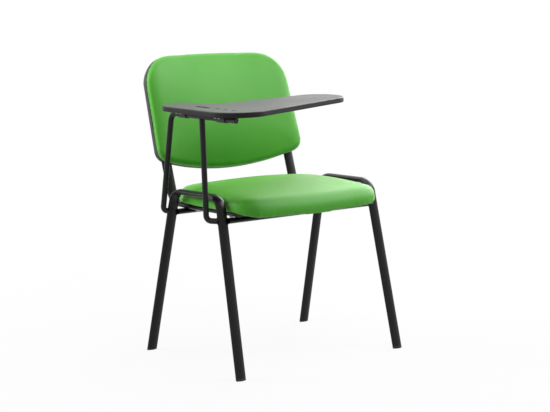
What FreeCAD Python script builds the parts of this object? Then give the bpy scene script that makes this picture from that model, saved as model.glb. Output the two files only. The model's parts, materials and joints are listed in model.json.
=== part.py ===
import FreeCAD, Part
import Sketcher
import math
import os

# Stacking conference chair with a fold-up writing tablet.
# Lengths are in millimetres, angles in degrees. The chair faces -Y, +Z is up and +X is the sitter's left.
# The model is built about the middle of the feet on the floor, and every piece is then moved by the same
# shift, so that the origin lies on the floor under the middle of the chair's bounding box.

V = FreeCAD.Vector
ACROSS = V(1, 0, 0)
REARWARD = V(0, 1, 0)
UPWARD = V(0, 0, 1)
FULL_TURN = 360
RIGHT = -1
LEFT = 1

# Driving dimensions: alias, value, what it is.
SIZES = [
    ("foot_spread_width", "544", "between the feet, across"),
    ("foot_spread_depth", "410", "between the feet, front to rear"),
    ("frame_top_width", "514", "between the leg frames' top bars"),
    ("frame_top_depth", "201", "between the corners of a leg frame's top bar"),
    ("frame_top_setback", "3.5", "middle of the top bar behind the middle of the feet"),
    ("frame_height", "456", "middle of the top bar above the floor"),
    ("top_bar_rise", "5", "front end of the top bar above its rear end"),
    ("leg_bend_radius", "38", "centre line of the leg frame's bends"),
    ("tube_width", "30", "oval tube, wide side"),
    ("tube_depth", "15", "oval tube, narrow side"),
    ("tube_wall", "1.5", "oval tube wall"),
    ("tube_end_radius", "5", "oval tube, radius at the narrow ends"),
    ("cope_depth", "2", "how far a tube's end reaches round the tube it is welded to"),
    ("foot_sole_height", "5", "foot plug below the tube's end"),
    ("plug_length", "22", "plug inside a tube's end"),
    ("plug_clearance", "0.1", "plug to the tube's inner wall"),
    ("plug_head_thickness", "2", "head of a plug outside the tube"),
    ("cross_tube_drop", "58", "front cross tube's centre line below the leg frame's top bar"),
    ("seat_tilt", "1", "fall of the seat to the rear"),
    ("upright_spacing", "426", "between the two back uprights"),
    ("upright_setback", "58", "corner of the upright behind the rear cross tube"),
    ("upright_lean", "18", "lean of the uprights and of the backrest"),
    ("upright_bend_radius", "45", "centre line of the upright's bend"),
    ("upright_length", "310", "upright from its lower corner to its top end"),
    ("rail_overrun", "12", "rail past the front cross tube's centre"),
    ("bolt_radius", "3", "bolt shank"),
    ("bolt_head_radius", "6", "bolt head"),
    ("bolt_head_height", "3.5", "bolt head"),
    ("bolt_head_rim_share", "0.4", "upright rim of a bolt's head, as a share of its height"),
    ("head_flat_share", "0.7", "flat top of a bolt's or screw's head, as a share of its radius"),
    ("bolt_clearance", "0.25", "bolt shank to the holes it passes"),
    ("tee_nut_flange_radius", "9", "tee nut flange"),
    ("tee_nut_flange_thickness", "1.5", "tee nut flange"),
    ("tee_nut_barrel_radius", "4.2", "tee nut barrel"),
    ("thread_clearance", "0.05", "bolt shank to the tee nut, tee nut barrel to the board"),
    ("seat_side_gap", "1.5", "seat cushion to a leg frame's top bar"),
    ("seat_front_overhang", "81", "seat in front of the front cross tube's centre"),
    ("seat_rear_overhang", "20.5", "seat's rear edge behind the lower corners of the uprights"),
    ("seat_front_radius", "60", "seat cushion's front corners"),
    ("seat_rear_radius", "110", "seat cushion's rear corners"),
    ("seat_bow", "14", "bow of the seat's front and rear edges"),
    ("seat_cover_thickness", "2.5", "cover under the seat"),
    ("seat_cover_inset", "9", "cover's side and rear edges inside the cushion's outline"),
    ("seat_cover_front_inset", "34", "cover's front edge inside the cushion's outline"),
    ("rail_clearance", "0.1", "cushion's underside to the rails, over their front ends"),
    ("seat_board_thickness", "10", "seat board"),
    ("seat_board_inset", "6", "seat board's side and rear edges inside the cushion's outline"),
    ("seat_board_front_inset", "30", "seat board's front edge inside the cushion's outline"),
    ("seat_rim_height", "15", "cushion at its sides"),
    ("seat_shoulder_height", "41.5", "cushion where its top begins to curve down"),
    ("seat_crown_height", "58.5", "cushion at its middle"),
    ("seat_front_round", "38", "run of the cushion's rounded front edge"),
    ("seat_rear_round", "28", "run of the cushion's rounded rear edge"),
    ("seat_side_round", "58", "run of the cushion's rounded sides"),
    ("seat_bolt_front", "24", "front seat bolts behind the front cross tube's centre"),
    ("seat_bolt_rear", "133", "rear seat bolts in front of the seat's rear edge"),
    ("seat_droop", "19", "fall of the seat's front edge"),
    ("seat_droop_run", "85", "run over which the seat's front edge falls"),
    ("edge_tuck", "3", "cushion's edge drawn in at its base"),
    ("least_crown_share", "0.02", "least rise of a crowned face, as a share of its height"),
    ("back_rise", "85", "backrest's lower edge above the upright's corner, along the lean"),
    ("back_height", "332", "backrest along the lean"),
    ("back_bottom_width", "501", "backrest at its lower edge"),
    ("back_top_width", "476", "backrest at its upper edge"),
    ("back_top_radius", "81", "backrest's upper corners"),
    ("back_bottom_radius", "27", "backrest's lower corners"),
    ("back_bottom_bow", "33", "bow of the backrest's lower edge"),
    ("back_top_bow", "13", "bow of the backrest's upper edge"),
    ("back_curve_radius", "1250", "backrest's curve round the sitter"),
    ("back_seating_gap", "0.3", "board to the uprights' faces"),
    ("back_board_thickness", "10", "backrest board"),
    ("back_board_inset", "6", "board's edge inside the backrest's outline"),
    ("back_rim_thickness", "14", "backrest cushion at its sides, board included"),
    ("back_shoulder_thickness", "24", "backrest cushion where its front begins to curve back"),
    ("back_crown_thickness", "48", "backrest cushion at its middle"),
    ("back_edge_round", "14", "run of the cushion's rounded upper and lower edges"),
    ("back_side_round", "34", "run of the cushion's rounded sides"),
    ("shell_rim_depth", "8", "back shell at its edge"),
    ("shell_depth", "22.5", "back shell behind the uprights"),
    ("shell_wall", "2.5", "back shell's wall"),
    ("shell_inset", "1", "shell's edge inside the backrest's outline"),
    ("shell_edge_round", "14", "run of the shell's rounded upper and lower edges"),
    ("shell_side_round", "16", "run of the shell's rounded sides"),
    ("shell_slot_clearance", "0.5", "upright to the shell's slot"),
    ("shell_boss_radius", "6", "screw boss inside the shell"),
    ("shell_boss_spacing", "260", "shell's screw bosses, across"),
    ("shell_boss_low", "85", "lower shell bosses above the backrest's lower edge"),
    ("shell_boss_high", "255", "upper shell bosses above the backrest's lower edge"),
    ("back_bolt_low", "68", "lower backrest bolts above the backrest's lower edge"),
    ("back_bolt_spacing", "120", "lower to upper backrest bolts"),
    ("screw_radius", "2", "wood screw shank"),
    ("screw_head_radius", "4", "wood screw head"),
    ("screw_head_height", "2.4", "wood screw head"),
    ("screw_head_rim_share", "0.3", "upright rim of a screw's head, as a share of its height"),
    ("shell_screw_length", "25", "shell screw under its head"),
    ("shell_screw_seat", "1.5", "flat seat of a shell screw's head, sunk into the shell"),
    ("post_gap", "17", "tablet posts' centre line outside the leg frame's top bar"),
    ("support_tube_diameter", "15", "round tube of the tablet support"),
    ("support_tube_wall", "1.5", "round tube wall"),
    ("post_foot_drop", "56", "inturned ends of the posts below the leg frame's top bar"),
    ("post_foot_radius", "14", "bend at a post's foot"),
    ("bar_height", "667.5", "tablet bar above the floor"),
    ("bar_bend_radius", "26", "bend from the rear post to the bar"),
    ("rear_post_top", "71", "rear post's top corner behind the middle of the feet"),
    ("front_post_top", "66", "front post's top in front of the middle of the feet"),
    ("front_post_foot", "82", "front post's foot in front of the middle of the feet"),
    ("bar_front_reach", "198", "bar's front end in front of the middle of the feet"),
    ("tablet_tilt", "1", "rise of the tablet's inner end at rest"),
    ("tablet_thickness", "14", "tablet top"),
    ("tablet_length", "526", "tablet, across"),
    ("tablet_depth", "334", "tablet, front to rear"),
    ("tablet_overhang", "44", "tablet outside the bar's centre line"),
    ("tablet_rear_reach", "91", "tablet behind the middle of the feet"),
    ("tablet_gap", "0.5", "tablet's underside above the bar"),
    ("tablet_top_round", "3", "tablet's upper edge"),
    ("tablet_bottom_round", "1.5", "tablet's lower edge"),
    ("groove_length", "58", "pen groove"),
    ("groove_width", "12", "pen groove"),
    ("groove_depth", "4", "pen groove"),
    ("groove_corner_share", "0.45", "pen groove's corner radius, as a share of its width"),
    ("groove_offset", "12", "pen groove inside the bar's centre line"),
    ("groove_rear_end", "26", "pen groove's rear end in front of the middle of the feet"),
    ("clip_length", "36", "hinge clip along the bar"),
    ("clip_wall", "2", "hinge clip round the bar"),
    ("clip_corner_share", "0.9", "corner radius of a clip's outside, as a share of its round"),
    ("clip_bore_share", "0.95", "corner radius of a clip's bore, as a share of the bore"),
    ("clip_flange_width", "48", "hinge clip's flanges, across"),
    ("clip_flange_thickness", "3.5", "hinge clip's flanges"),
    ("clip_running_clearance", "0.05", "hinge clip's bore to the bar"),
    ("clip_screw_spacing", "34", "clip screws, across"),
    ("clip_screw_pitch", "16", "clip screws along the bar"),
    ("clip_screw_length", "13", "clip screw under its head"),
    ("rear_clip_place", "14", "rear clip behind the middle of the feet"),
    ("clip_spacing", "169", "front clip in front of the rear clip"),
    ("bar_plug_head", "16", "head of the plug in the bar's front end"),
    ("stop_place", "36", "stop tab in front of the middle of the feet"),
    ("stop_width", "26", "stop tab along the bar"),
    ("stop_reach", "46", "stop tab's end inside the bar's centre line"),
    ("stop_thickness", "3", "stop tab"),
    ("buffer_radius", "7", "rubber buffer"),
    ("buffer_height", "3", "rubber buffer under the tablet"),
    ("buffer_gap", "0.1", "buffer to the tablet's underside"),
    ("overrun", "10", "how far a cutting shape runs past what it cuts"),
]

# Sizes that follow from the driving ones: alias, formula, what it is.
DERIVED = [
    ("foot_half_width", "=foot_spread_width / 2", "foot from the middle"),
    ("foot_half_depth", "=foot_spread_depth / 2", "foot from the middle"),
    ("top_half_width", "=frame_top_width / 2", "top bar from the middle"),
    ("leg_inset", "=foot_half_width - top_half_width", "top bar inside the foot"),
    ("top_front_place", "=frame_top_setback - frame_top_depth / 2", "front corner of the top bar"),
    ("top_rear_place", "=frame_top_setback + frame_top_depth / 2", "rear corner of the top bar"),
    ("top_front_height", "=frame_height + top_bar_rise / 2", "front corner of the top bar"),
    ("top_rear_height", "=frame_height - top_bar_rise / 2", "rear corner of the top bar"),
    ("front_leg_slope", "=(foot_half_depth + top_front_place) / top_front_height", "front leg's run per rise"),
    ("rear_leg_slope", "=(foot_half_depth - top_rear_place) / top_rear_height", "rear leg's run per rise"),
    ("side_slope", "=leg_inset / frame_height", "leg frame's run inwards per rise"),
    ("oval_centre", "=tube_width / 2 - tube_end_radius", "centre of an oval's end arc"),
    (
        "oval_face_radius",
        "=(oval_centre ^ 2 + (tube_depth / 2) ^ 2 - tube_end_radius ^ 2) / (tube_depth - 2 * tube_end_radius)",
        "radius of an oval's wide faces",
    ),
    ("oval_face_drop", "=oval_face_radius - tube_depth / 2", "centre of a wide face's arc"),
    ("oval_reach", "=oval_face_radius - tube_end_radius", "between the centres of two arcs"),
    ("cross_tube_height", "=frame_height - cross_tube_drop", "front cross tube's centre line above the floor"),
    ("post_foot_height", "=frame_height - post_foot_drop", "inturned ends of the posts above the floor"),
    ("front_cross_place", "=front_leg_slope * cross_tube_height - foot_half_depth", "front cross tube"),
    ("seat_fall", "=tan(seat_tilt * 1 deg)", "seat's fall per run"),
    (
        "rear_cross_height",
        "=cross_tube_height - seat_fall * (foot_half_depth - rear_leg_slope * cross_tube_height - front_cross_place)",
        "rear cross tube's centre line",
    ),
    ("rear_cross_place", "=foot_half_depth - rear_leg_slope * rear_cross_height", "rear cross tube"),
    ("rail_height", "=cross_tube_height + tube_depth", "rail's centre line over the front cross tube"),
    ("rail_end_place", "=front_cross_place - rail_overrun", "rail's front end"),
    ("rail_end_height", "=rail_height + seat_fall * rail_overrun", "rail's front end"),
    ("upright_corner_place", "=rear_cross_place + upright_setback", "upright's lower corner"),
    (
        "upright_corner_height",
        "=rail_height - seat_fall * (upright_corner_place - front_cross_place)",
        "upright's lower corner",
    ),
    ("upright_top_place", "=upright_corner_place + upright_length * sin(upright_lean * 1 deg)", "upright's top"),
    ("upright_top_height", "=upright_corner_height + upright_length * cos(upright_lean * 1 deg)", "upright's top"),
    ("upright_half", "=upright_spacing / 2", "upright from the middle"),
    ("seat_half_width", "=top_half_width - tube_width / 2 - seat_side_gap", "seat cushion from the middle"),
    (
        "seat_rear_reach",
        "=upright_corner_place - front_cross_place + seat_rear_overhang",
        "seat behind the front cross tube",
    ),
    ("seat_depth", "=seat_front_overhang + seat_rear_reach", "seat cushion, front to rear"),
    ("seat_bolt_spacing", "=seat_rear_reach - seat_bolt_rear - seat_bolt_front", "front to rear seat bolts"),
    ("back_curve_set", "=upright_half ^ 2 / (2 * back_curve_radius)", "backrest's curve at the uprights"),
    (
        "back_standoff",
        "=back_seating_gap + oval_face_radius * (upright_half / back_curve_radius) ^ 2 / 2",
        "curved board to the uprights' middle lines, so that it clears their round faces",
    ),
    ("back_plane", "=tube_depth / 2 + back_standoff - back_curve_set", "board's rear face at its middle"),
    ("axis_place", "=top_half_width + tube_width / 2 + post_gap", "tablet bar from the middle"),
    ("support_radius", "=support_tube_diameter / 2", "round tube"),
    ("tablet_underside", "=support_radius + tablet_gap", "tablet's underside above the bar's centre line"),
    ("front_clip_place", "=rear_clip_place - clip_spacing", "front clip behind the middle of the feet"),
    ("clip_bore", "=support_radius + clip_running_clearance", "hinge clip's bore"),
    ("clip_radius", "=clip_bore + clip_wall", "hinge clip round the bar"),
    ("clip_flange_base", "=tablet_underside - clip_flange_thickness", "underside of a clip's flange"),
    ("screw_hole_radius", "=screw_radius + thread_clearance", "pilot hole of a screw"),
    ("shell_boss_half", "=shell_boss_spacing / 2", "shell boss from the middle"),
    (
        "shell_boss_plane",
        "=shell_boss_half ^ 2 / (2 * back_curve_radius) - shell_depth",
        "shell's outside at a boss",
    ),
    (
        "shell_screw_plane",
        "=shell_boss_plane + shell_screw_seat",
        "underside of a shell screw's head",
    ),
    ("seat_cover_reach", "=tube_depth + seat_cover_thickness", "rail's underside to the seat board"),
]

# Tablet outline, as shares of its length from the outer edge, of its depth from the front edge, and of its
# depth for the radius of each corner.
TABLET_CORNER_SHARES = [
    (0, -0.11, 0.25),
    (0.981, 0.438, 0.249),
    (1.006, 0.852, 0.195),
    (0.225, 0.71, 0.178),
    (0.195, 1, 0.089),
    (0, 1, 0.178),
]

# Stations of a crowned panel: flat part as shares of the way to the corner, then angles round the corner.
FLAT_STATION_SHARES = (0, 0.35, 0.7)
CORNER_ANGLES = (0, 25, 45, 62, 76, 90)

# Where the tangents at the quarters of a bowed edge meet its middle and its sides, as shares of the bow.
BOW_SHARES = (0.25, 0.75)

# Where an edge's arc passes, as shares of its run and of its height.
EDGE_ARC_RUN_SHARE = 0.14
EDGE_ARC_RISE_SHARE = 0.62


def write_sheet(document):
    """Put the driving and the derived sizes into the spreadsheet."""
    sheet = document.addObject("Spreadsheet::Sheet", "Sizes")
    for row, (alias, content, meaning) in enumerate(SIZES + DERIVED, start=1):
        sheet.set("A%d" % row, alias)
        sheet.set("B%d" % row, content)
        sheet.set("C%d" % row, meaning)
        sheet.setAlias("B%d" % row, alias)
    document.recompute()
    return sheet


doc = FreeCAD.newDocument("ConferenceChair")
sizes = write_sheet(doc)
pieces = []


def size(alias):
    """A size of the sheet as a plain number."""
    return float(sizes.get(alias))


def finish(item, label, frame):
    """Name a piece and put it where it belongs, moved by the shift that all pieces share."""
    item.Label = label
    item.Placement = SHIFT.multiply(frame)
    pieces.append(item)
    return item


# Sketches

def add_lengths(sketch, geometry, point, across, along):
    """Hold a point of a sketch at two expressions."""
    for kind, expression in (("DistanceX", across), ("DistanceY", along)):
        held = float(sketch.evalExpression(expression))
        index = sketch.addConstraint(Sketcher.Constraint(kind, -1, 1, geometry, point, held))
        sketch.setExpression("Constraints[%d]" % index, expression)


def add_radius(sketch, geometry, expression):
    """Hold an arc's radius at an expression."""
    held = float(sketch.evalExpression(expression))
    index = sketch.addConstraint(Sketcher.Constraint("Radius", geometry, held))
    sketch.setExpression("Constraints[%d]" % index, expression)


def draw_outline(sketch, corners, closed=True):
    """Draw straight runs between corners, each rounded by a tangent arc where it has a radius.

    A corner is three expressions: its two coordinates and its radius, or None for a sharp one.
    """
    count = len(corners)
    points = [V(*[float(sketch.evalExpression(word)) for word in corner[:2]]) for corner in corners]
    leave = []
    arcs = []
    for index, corner in enumerate(corners):
        here = points[index]
        before = points[index - 1]
        after = points[(index + 1) % count]
        if corner[2] is None:
            leave.append((here, here))
            arcs.append(None)
            continue
        radius = float(sketch.evalExpression(corner[2]))
        towards = (before - here).normalize()
        onwards = (after - here).normalize()
        half = towards.getAngle(onwards) / 2
        cut = radius / math.tan(half)
        middle = here + (towards + onwards).normalize() * (radius / math.sin(half))
        leave.append((here + towards * cut, here + onwards * cut))
        left_turn = (here - before).cross(after - here).z > 0
        ends = leave[-1] if left_turn else leave[-1][::-1]
        angles = [math.atan2(end.y - middle.y, end.x - middle.x) for end in ends]
        circle = Part.Circle(middle, UPWARD, radius)
        arcs.append((sketch.addGeometry(Part.ArcOfCircle(circle, *angles)), left_turn))
    runs = []
    for index in range(count if closed else count - 1):
        start = leave[index][1]
        end = leave[(index + 1) % count][0]
        runs.append(sketch.addGeometry(Part.LineSegment(start, end)))
    for index, corner in enumerate(corners):
        incoming = runs[index - 1] if closed or index > 0 else None
        outgoing = runs[index] if closed or index < count - 1 else None
        if arcs[index] is None:
            held, point = (outgoing, 1) if outgoing is not None else (incoming, 2)
            if incoming is not None and outgoing is not None:
                sketch.addConstraint(Sketcher.Constraint("Coincident", incoming, 2, outgoing, 1))
            add_lengths(sketch, held, point, corner[0], corner[1])
            continue
        arc, left_turn = arcs[index]
        first, second = (1, 2) if left_turn else (2, 1)
        sketch.addConstraint(Sketcher.Constraint("Tangent", incoming, 2, arc, first))
        sketch.addConstraint(Sketcher.Constraint("Tangent", outgoing, 1, arc, second))
        add_radius(sketch, arc, corner[2])
        mark = sketch.addGeometry(Part.Point(points[index]), True)
        sketch.addConstraint(Sketcher.Constraint("PointOnObject", mark, 1, incoming))
        sketch.addConstraint(Sketcher.Constraint("PointOnObject", mark, 1, outgoing))
        add_lengths(sketch, mark, 1, corner[0], corner[1])


def draw_oval(sketch, inset):
    """Draw the oval tube's section as four arcs, with its outline moved in by an expression."""
    end = "(Sizes.tube_end_radius - (%s))" % inset
    face = "Sizes.oval_face_radius - (%s)" % inset
    join_x = "Sizes.oval_centre * (1 + %s / Sizes.oval_reach)" % end
    join_y = "%s * Sizes.oval_face_drop / Sizes.oval_reach" % end
    joins = [(join_x, "-" + join_y), (join_x, join_y), ("-" + join_x, join_y), ("-" + join_x, "-" + join_y)]
    centre = size("oval_centre")
    drop = size("oval_face_drop")
    centres = [V(centre, 0, 0), V(0, -drop, 0), V(-centre, 0, 0), V(0, drop, 0)]
    arcs = []
    for index, middle in enumerate(centres):
        ends = [joins[index], joins[(index + 1) % len(joins)]]
        points = [V(*[float(sketch.evalExpression(word)) for word in words]) for words in ends]
        angles = [math.atan2(point.y - middle.y, point.x - middle.x) for point in points]
        circle = Part.Circle(middle, UPWARD, points[0].distanceToPoint(middle))
        arcs.append(sketch.addGeometry(Part.ArcOfCircle(circle, *angles)))
    for index, arc in enumerate(arcs):
        following = arcs[(index + 1) % len(arcs)]
        sketch.addConstraint(Sketcher.Constraint("Coincident", arc, 2, following, 1))
        add_lengths(sketch, arc, 1, *joins[index])
        add_radius(sketch, arc, face if index % 2 else end)


def free_sketch(name, frame):
    """A sketch that lies in a frame of its own."""
    sketch = doc.addObject("Sketcher::SketchObject", name)
    sketch.Placement = frame
    return sketch


def body_sketch(body, name, role):
    """A sketch on one of its body's own origin planes."""
    sketch = body.newObject("Sketcher::SketchObject", name)
    plane = [item for item in body.Origin.OriginFeatures if item.Role == role][0]
    sketch.AttachmentSupport = [(plane, "")]
    sketch.MapMode = "FlatFace"
    return sketch


def raise_sketch(sketch, expression):
    """Lift a sketch off its plane by an expression."""
    sketch.setExpression("AttachmentOffset.Base.z", expression)


def pad(body, sketch, expression, midplane=False, down=False):
    """Pad a sketch by an expression."""
    feature = body.newObject("PartDesign::Pad", "Pad")
    feature.Profile = sketch
    feature.setExpression("Length", expression)
    feature.Midplane = midplane
    feature.Reversed = down
    return feature


def pocket(body, sketch, expression, upwards=False):
    """Pocket a sketch by an expression."""
    feature = body.newObject("PartDesign::Pocket", "Pocket")
    feature.Profile = sketch
    feature.setExpression("Length", expression)
    feature.Reversed = upwards
    return feature


def draw_circles(sketch, places, radius):
    """Draw circles of one radius about places that are pairs of expressions."""
    for across, along in places:
        middle = V(float(sketch.evalExpression(across)), float(sketch.evalExpression(along)), 0)
        circle = sketch.addGeometry(Part.Circle(middle, UPWARD, float(sketch.evalExpression(radius))))
        add_lengths(sketch, circle, 3, across, along)
        add_radius(sketch, circle, radius)


# Solids shared by several pieces

def cut(name, base, tools):
    """Cut tools from a base."""
    tool = tools[0]
    if len(tools) > 1:
        tool = doc.addObject("Part::MultiFuse", name + "_tools")
        tool.Shapes = tools
    result = doc.addObject("Part::Cut", name)
    result.Base = base
    result.Tool = tool
    return result


def sweep(name, profile, path):
    """Sweep a section along a path."""
    swept = doc.addObject("Part::Sweep", name)
    swept.Sections = [profile]
    swept.Spine = (path, ["Edge%d" % (index + 1) for index in range(len(path.Shape.Edges))])
    swept.Solid = True
    return swept


def oval_tube(name, frame, corners):
    """Bend an oval tube along a path in the plane of a frame, with its wide side square to that plane.

    It returns the tube, the same tube without its bore, and the frame of its first end.
    """
    path = free_sketch(name + "_path", frame)
    draw_outline(path, corners, closed=False)
    doc.recompute()
    start, after = [V(*[float(path.evalExpression(word)) for word in corner[:2]]) for corner in corners[:2]]
    end_frame = frame.multiply(FreeCAD.Placement(start, facing(after - start, UPWARD)))
    sweeps = []
    for kind, inset in (("outside", "0"), ("bore", "Sizes.tube_wall")):
        section = free_sketch("%s_%s_section" % (name, kind), end_frame)
        draw_oval(section, inset)
        sweeps.append(sweep("%s_%s" % (name, kind), section, path))
    tube = cut(name, sweeps[0], [sweeps[1]])
    return tube, sweeps[0], end_frame


def facing(along, wide):
    """The turn that takes +Z along one direction and +X along another that is square to it."""
    return FreeCAD.Rotation(wide, V(0, 0, 0), along, "ZXY")


def cylinder(name, frame, radius, height):
    """A cylinder along +Z of a frame, its sizes given as expressions."""
    rod = doc.addObject("Part::Cylinder", name)
    rod.setExpression("Radius", radius)
    rod.setExpression("Height", height)
    rod.Placement = frame
    return rod


def fasteners(label, outline, frames, frame):
    """Turn one outline into a group of alike fasteners, each along +Z of its own frame."""
    profile = free_sketch(label + "_profile", FreeCAD.Placement(V(0, 0, 0), FreeCAD.Rotation(ACROSS, 90)))
    draw_outline(profile, [(across, along, None) for across, along in outline])
    group = doc.addObject("Part::Compound", label)
    turned = []
    for index, place in enumerate(frames):
        item = doc.addObject("Part::Revolution", "%s_%d" % (label, index + 1))
        item.Source = profile
        item.Axis = UPWARD
        item.Angle = FULL_TURN
        item.Solid = True
        item.Placement = place
        turned.append(item)
    group.Links = turned
    return finish(group, label, frame)


def bolt_outline(length):
    """Half of a round-headed bolt whose head lies under zero."""
    return [
        ("0", "-Sizes.bolt_head_height"),
        ("Sizes.bolt_head_radius * Sizes.head_flat_share", "-Sizes.bolt_head_height"),
        ("Sizes.bolt_head_radius", "-Sizes.bolt_head_height * Sizes.bolt_head_rim_share"),
        ("Sizes.bolt_head_radius", "0"),
        ("Sizes.bolt_radius", "0"),
        ("Sizes.bolt_radius", length),
        ("0", length),
    ]


def screw_outline(length):
    """Half of a pan-headed wood screw whose head lies under zero."""
    return [
        ("0", "-Sizes.screw_head_height"),
        ("Sizes.screw_head_radius * Sizes.head_flat_share", "-Sizes.screw_head_height"),
        ("Sizes.screw_head_radius", "-Sizes.screw_head_height * Sizes.screw_head_rim_share"),
        ("Sizes.screw_head_radius", "0"),
        ("Sizes.screw_radius", "0"),
        ("Sizes.screw_radius", "%s - 2 * Sizes.screw_radius" % length),
        ("0", length),
    ]


def tee_nut_outline(length):
    """Half of a tee nut whose flange ends at zero and whose barrel points down."""
    bore = "(Sizes.bolt_radius + Sizes.thread_clearance)"
    return [
        (bore, "0"),
        ("Sizes.tee_nut_flange_radius", "0"),
        ("Sizes.tee_nut_flange_radius", "-Sizes.tee_nut_flange_thickness"),
        ("Sizes.tee_nut_barrel_radius", "-Sizes.tee_nut_flange_thickness"),
        ("Sizes.tee_nut_barrel_radius", "-(%s)" % length),
        (bore, "-(%s)" % length),
    ]


class Panel:
    """A padded panel's outline: wider at one end, bowed at both, with rounded corners."""

    def __init__(self, length, low_width, high_width, low_radius, high_radius, low_bow, high_bow, curve=0, droop=(0, 1)):
        self.length = length
        self.low_width = low_width
        self.high_width = high_width
        self.low_radius = low_radius
        self.high_radius = high_radius
        self.low_bow = low_bow
        self.high_bow = high_bow
        self.curve = curve
        self.droop, self.droop_run = droop

    def stations(self):
        """Shares of the half width at which the panel is cut, from one side to the other."""
        half = min(self.low_width, self.high_width) / 2
        corner = 1 - max(self.low_radius, self.high_radius) / half
        shares = [corner * share for share in FLAT_STATION_SHARES]
        shares += [corner + (1 - corner) * math.sin(math.radians(angle)) for angle in CORNER_ANGLES]
        return [-share for share in reversed(shares[1:])] + shares

    def corner_drop(self, share, radius, width):
        """How far an edge has turned away at a station."""
        past = (abs(share) - 1) * width / 2 + radius
        if past <= 0:
            return 0
        return radius - math.sqrt(max(0, radius ** 2 - past ** 2))

    def reach(self, share):
        """Where the panel begins and ends at a station."""
        low = self.low_bow * share ** 2 + self.corner_drop(share, self.low_radius, self.low_width)
        drop = self.corner_drop(share, self.high_radius, self.high_width)
        high = self.length - self.high_bow * share ** 2 - drop
        return low, high

    def point(self, share, along, up, inset=0):
        """A point of the panel: across by its share, along its length and up from its base."""
        way = along / self.length
        half = (self.low_width + (self.high_width - self.low_width) * way) / 2
        across = share * (half - inset)
        lift = across ** 2 / (2 * self.curve) if self.curve else 0
        fall = self.droop * max(0, 1 - along / self.droop_run) ** 2
        return V(across, along, up + lift - fall)

    def slab(self, inset, base, top):
        """A board of even thickness, inside the outline by an inset."""
        sections = []
        for share in self.stations():
            low, high = self.reach(share)
            corners = [(low + inset, base), (high - inset, base), (high - inset, top), (low + inset, top)]
            points = [self.point(share, along, up, inset) for along, up in corners]
            sections.append(Part.makePolygon(points + points[:1]))
        return Part.makeLoft(sections, True, False)

    def crowned(self, inset, base, rim, shoulder, crown, low_run, high_run, side_run, tuck):
        """A crowned form: rounded sides and edges that rise to a shoulder, and a curved top."""
        sections = []
        for share in self.stations():
            low, high = self.reach(share)
            low += inset
            high -= inset
            near_side = (abs(share) - 1) * self.low_width / 2 + side_run
            sunk = max(0, near_side) / side_run
            swell = math.sqrt(max(0, 1 - sunk ** 2))
            level = rim + (shoulder - rim) * swell
            peak = level + (crown - shoulder) * (1 - share ** 2) * swell
            peak += (level - base) * size("least_crown_share")
            low_edge = low_run * (level - base) / (shoulder - base)
            high_edge = high_run * (level - base) / (shoulder - base)
            rise = base + (level - base) * EDGE_ARC_RISE_SHARE
            spots = [
                (low + tuck, base),
                (high - tuck, base),
                (high - high_edge * EDGE_ARC_RUN_SHARE, rise),
                (high - high_edge, level),
                ((low + high) / 2, peak),
                (low + low_edge, level),
                (low + low_edge * EDGE_ARC_RUN_SHARE, rise),
            ]
            spot = [self.point(share, along, up, inset) for along, up in spots]
            edges = []
            begin = spot[0]
            if self.droop:
                near = low + tuck
                halfway, level_base = [
                    self.point(share, along, base, inset) for along in ((near + self.droop_run) / 2, self.droop_run)
                ]
                edges.append(Part.Arc(begin, halfway, level_base).toShape())
                begin = level_base
            edges += [
                Part.LineSegment(begin, spot[1]).toShape(),
                Part.Arc(spot[1], spot[2], spot[3]).toShape(),
                Part.Arc(spot[3], spot[4], spot[5]).toShape(),
                Part.Arc(spot[5], spot[6], spot[0]).toShape(),
            ]
            sections.append(Part.Wire(edges))
        return Part.makeLoft(sections, True, False)


def feature(name, shape):
    """Hold a shape made by a formula as an object of the document."""
    item = doc.addObject("Part::Feature", name)
    item.Shape = shape
    return item


def flipped(shape):
    """The same form pointing to the other side of its base."""
    return shape.mirror(V(0, 0, 0), UPWARD)


# Frames

def leg_point(side, slope_word, end, height):
    """Centre of a leg at a height: side is -1 for the sitter's right, end is -1 for the front."""
    across = side * (size("foot_half_width") - size("side_slope") * height)
    return V(across, end * (size("foot_half_depth") - size(slope_word) * height), height)


IN_PLACE = FreeCAD.Placement()
LEAN = size("upright_lean")
CHAIR_LEFT = -(size("axis_place") + size("tablet_overhang"))
CHAIR_RIGHT = size("foot_half_width") + size("tube_width") / 2
CHAIR_FRONT = size("tablet_rear_reach") - size("tablet_depth")
UP_THE_BACK = V(0, math.sin(math.radians(LEAN)), math.cos(math.radians(LEAN)))
OUT_OF_THE_BACK = V(0, -math.cos(math.radians(LEAN)), math.sin(math.radians(LEAN)))
BACK_CORNER = V(0, size("upright_corner_place"), size("upright_corner_height"))
BACK_TOP = BACK_CORNER + UP_THE_BACK * (size("back_rise") + size("back_height"))
CHAIR_REAR = (BACK_TOP - UP_THE_BACK * size("shell_edge_round")).y
CHAIR_REAR += (size("shell_depth") - size("back_plane")) * math.cos(math.radians(LEAN))
SHIFT = FreeCAD.Placement(
    V(-(CHAIR_LEFT + CHAIR_RIGHT) / 2, -(CHAIR_FRONT + CHAIR_REAR) / 2, 0), FreeCAD.Rotation()
)
SEAT_FRAME = FreeCAD.Placement(
    V(0, size("front_cross_place"), size("rail_height") + size("tube_depth") / 2),
    FreeCAD.Rotation(ACROSS, -size("seat_tilt")),
)
BACK_FRAME = FreeCAD.Placement(
    BACK_CORNER + UP_THE_BACK * size("back_rise") + OUT_OF_THE_BACK * size("back_plane"),
    FreeCAD.Rotation(ACROSS, UP_THE_BACK, OUT_OF_THE_BACK, "XYZ"),
)
TABLET_FRAME = FreeCAD.Placement(
    V(-size("axis_place"), 0, size("bar_height")), FreeCAD.Rotation(REARWARD, -size("tablet_tilt"))
)


# Leg frames and their foot plugs

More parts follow.
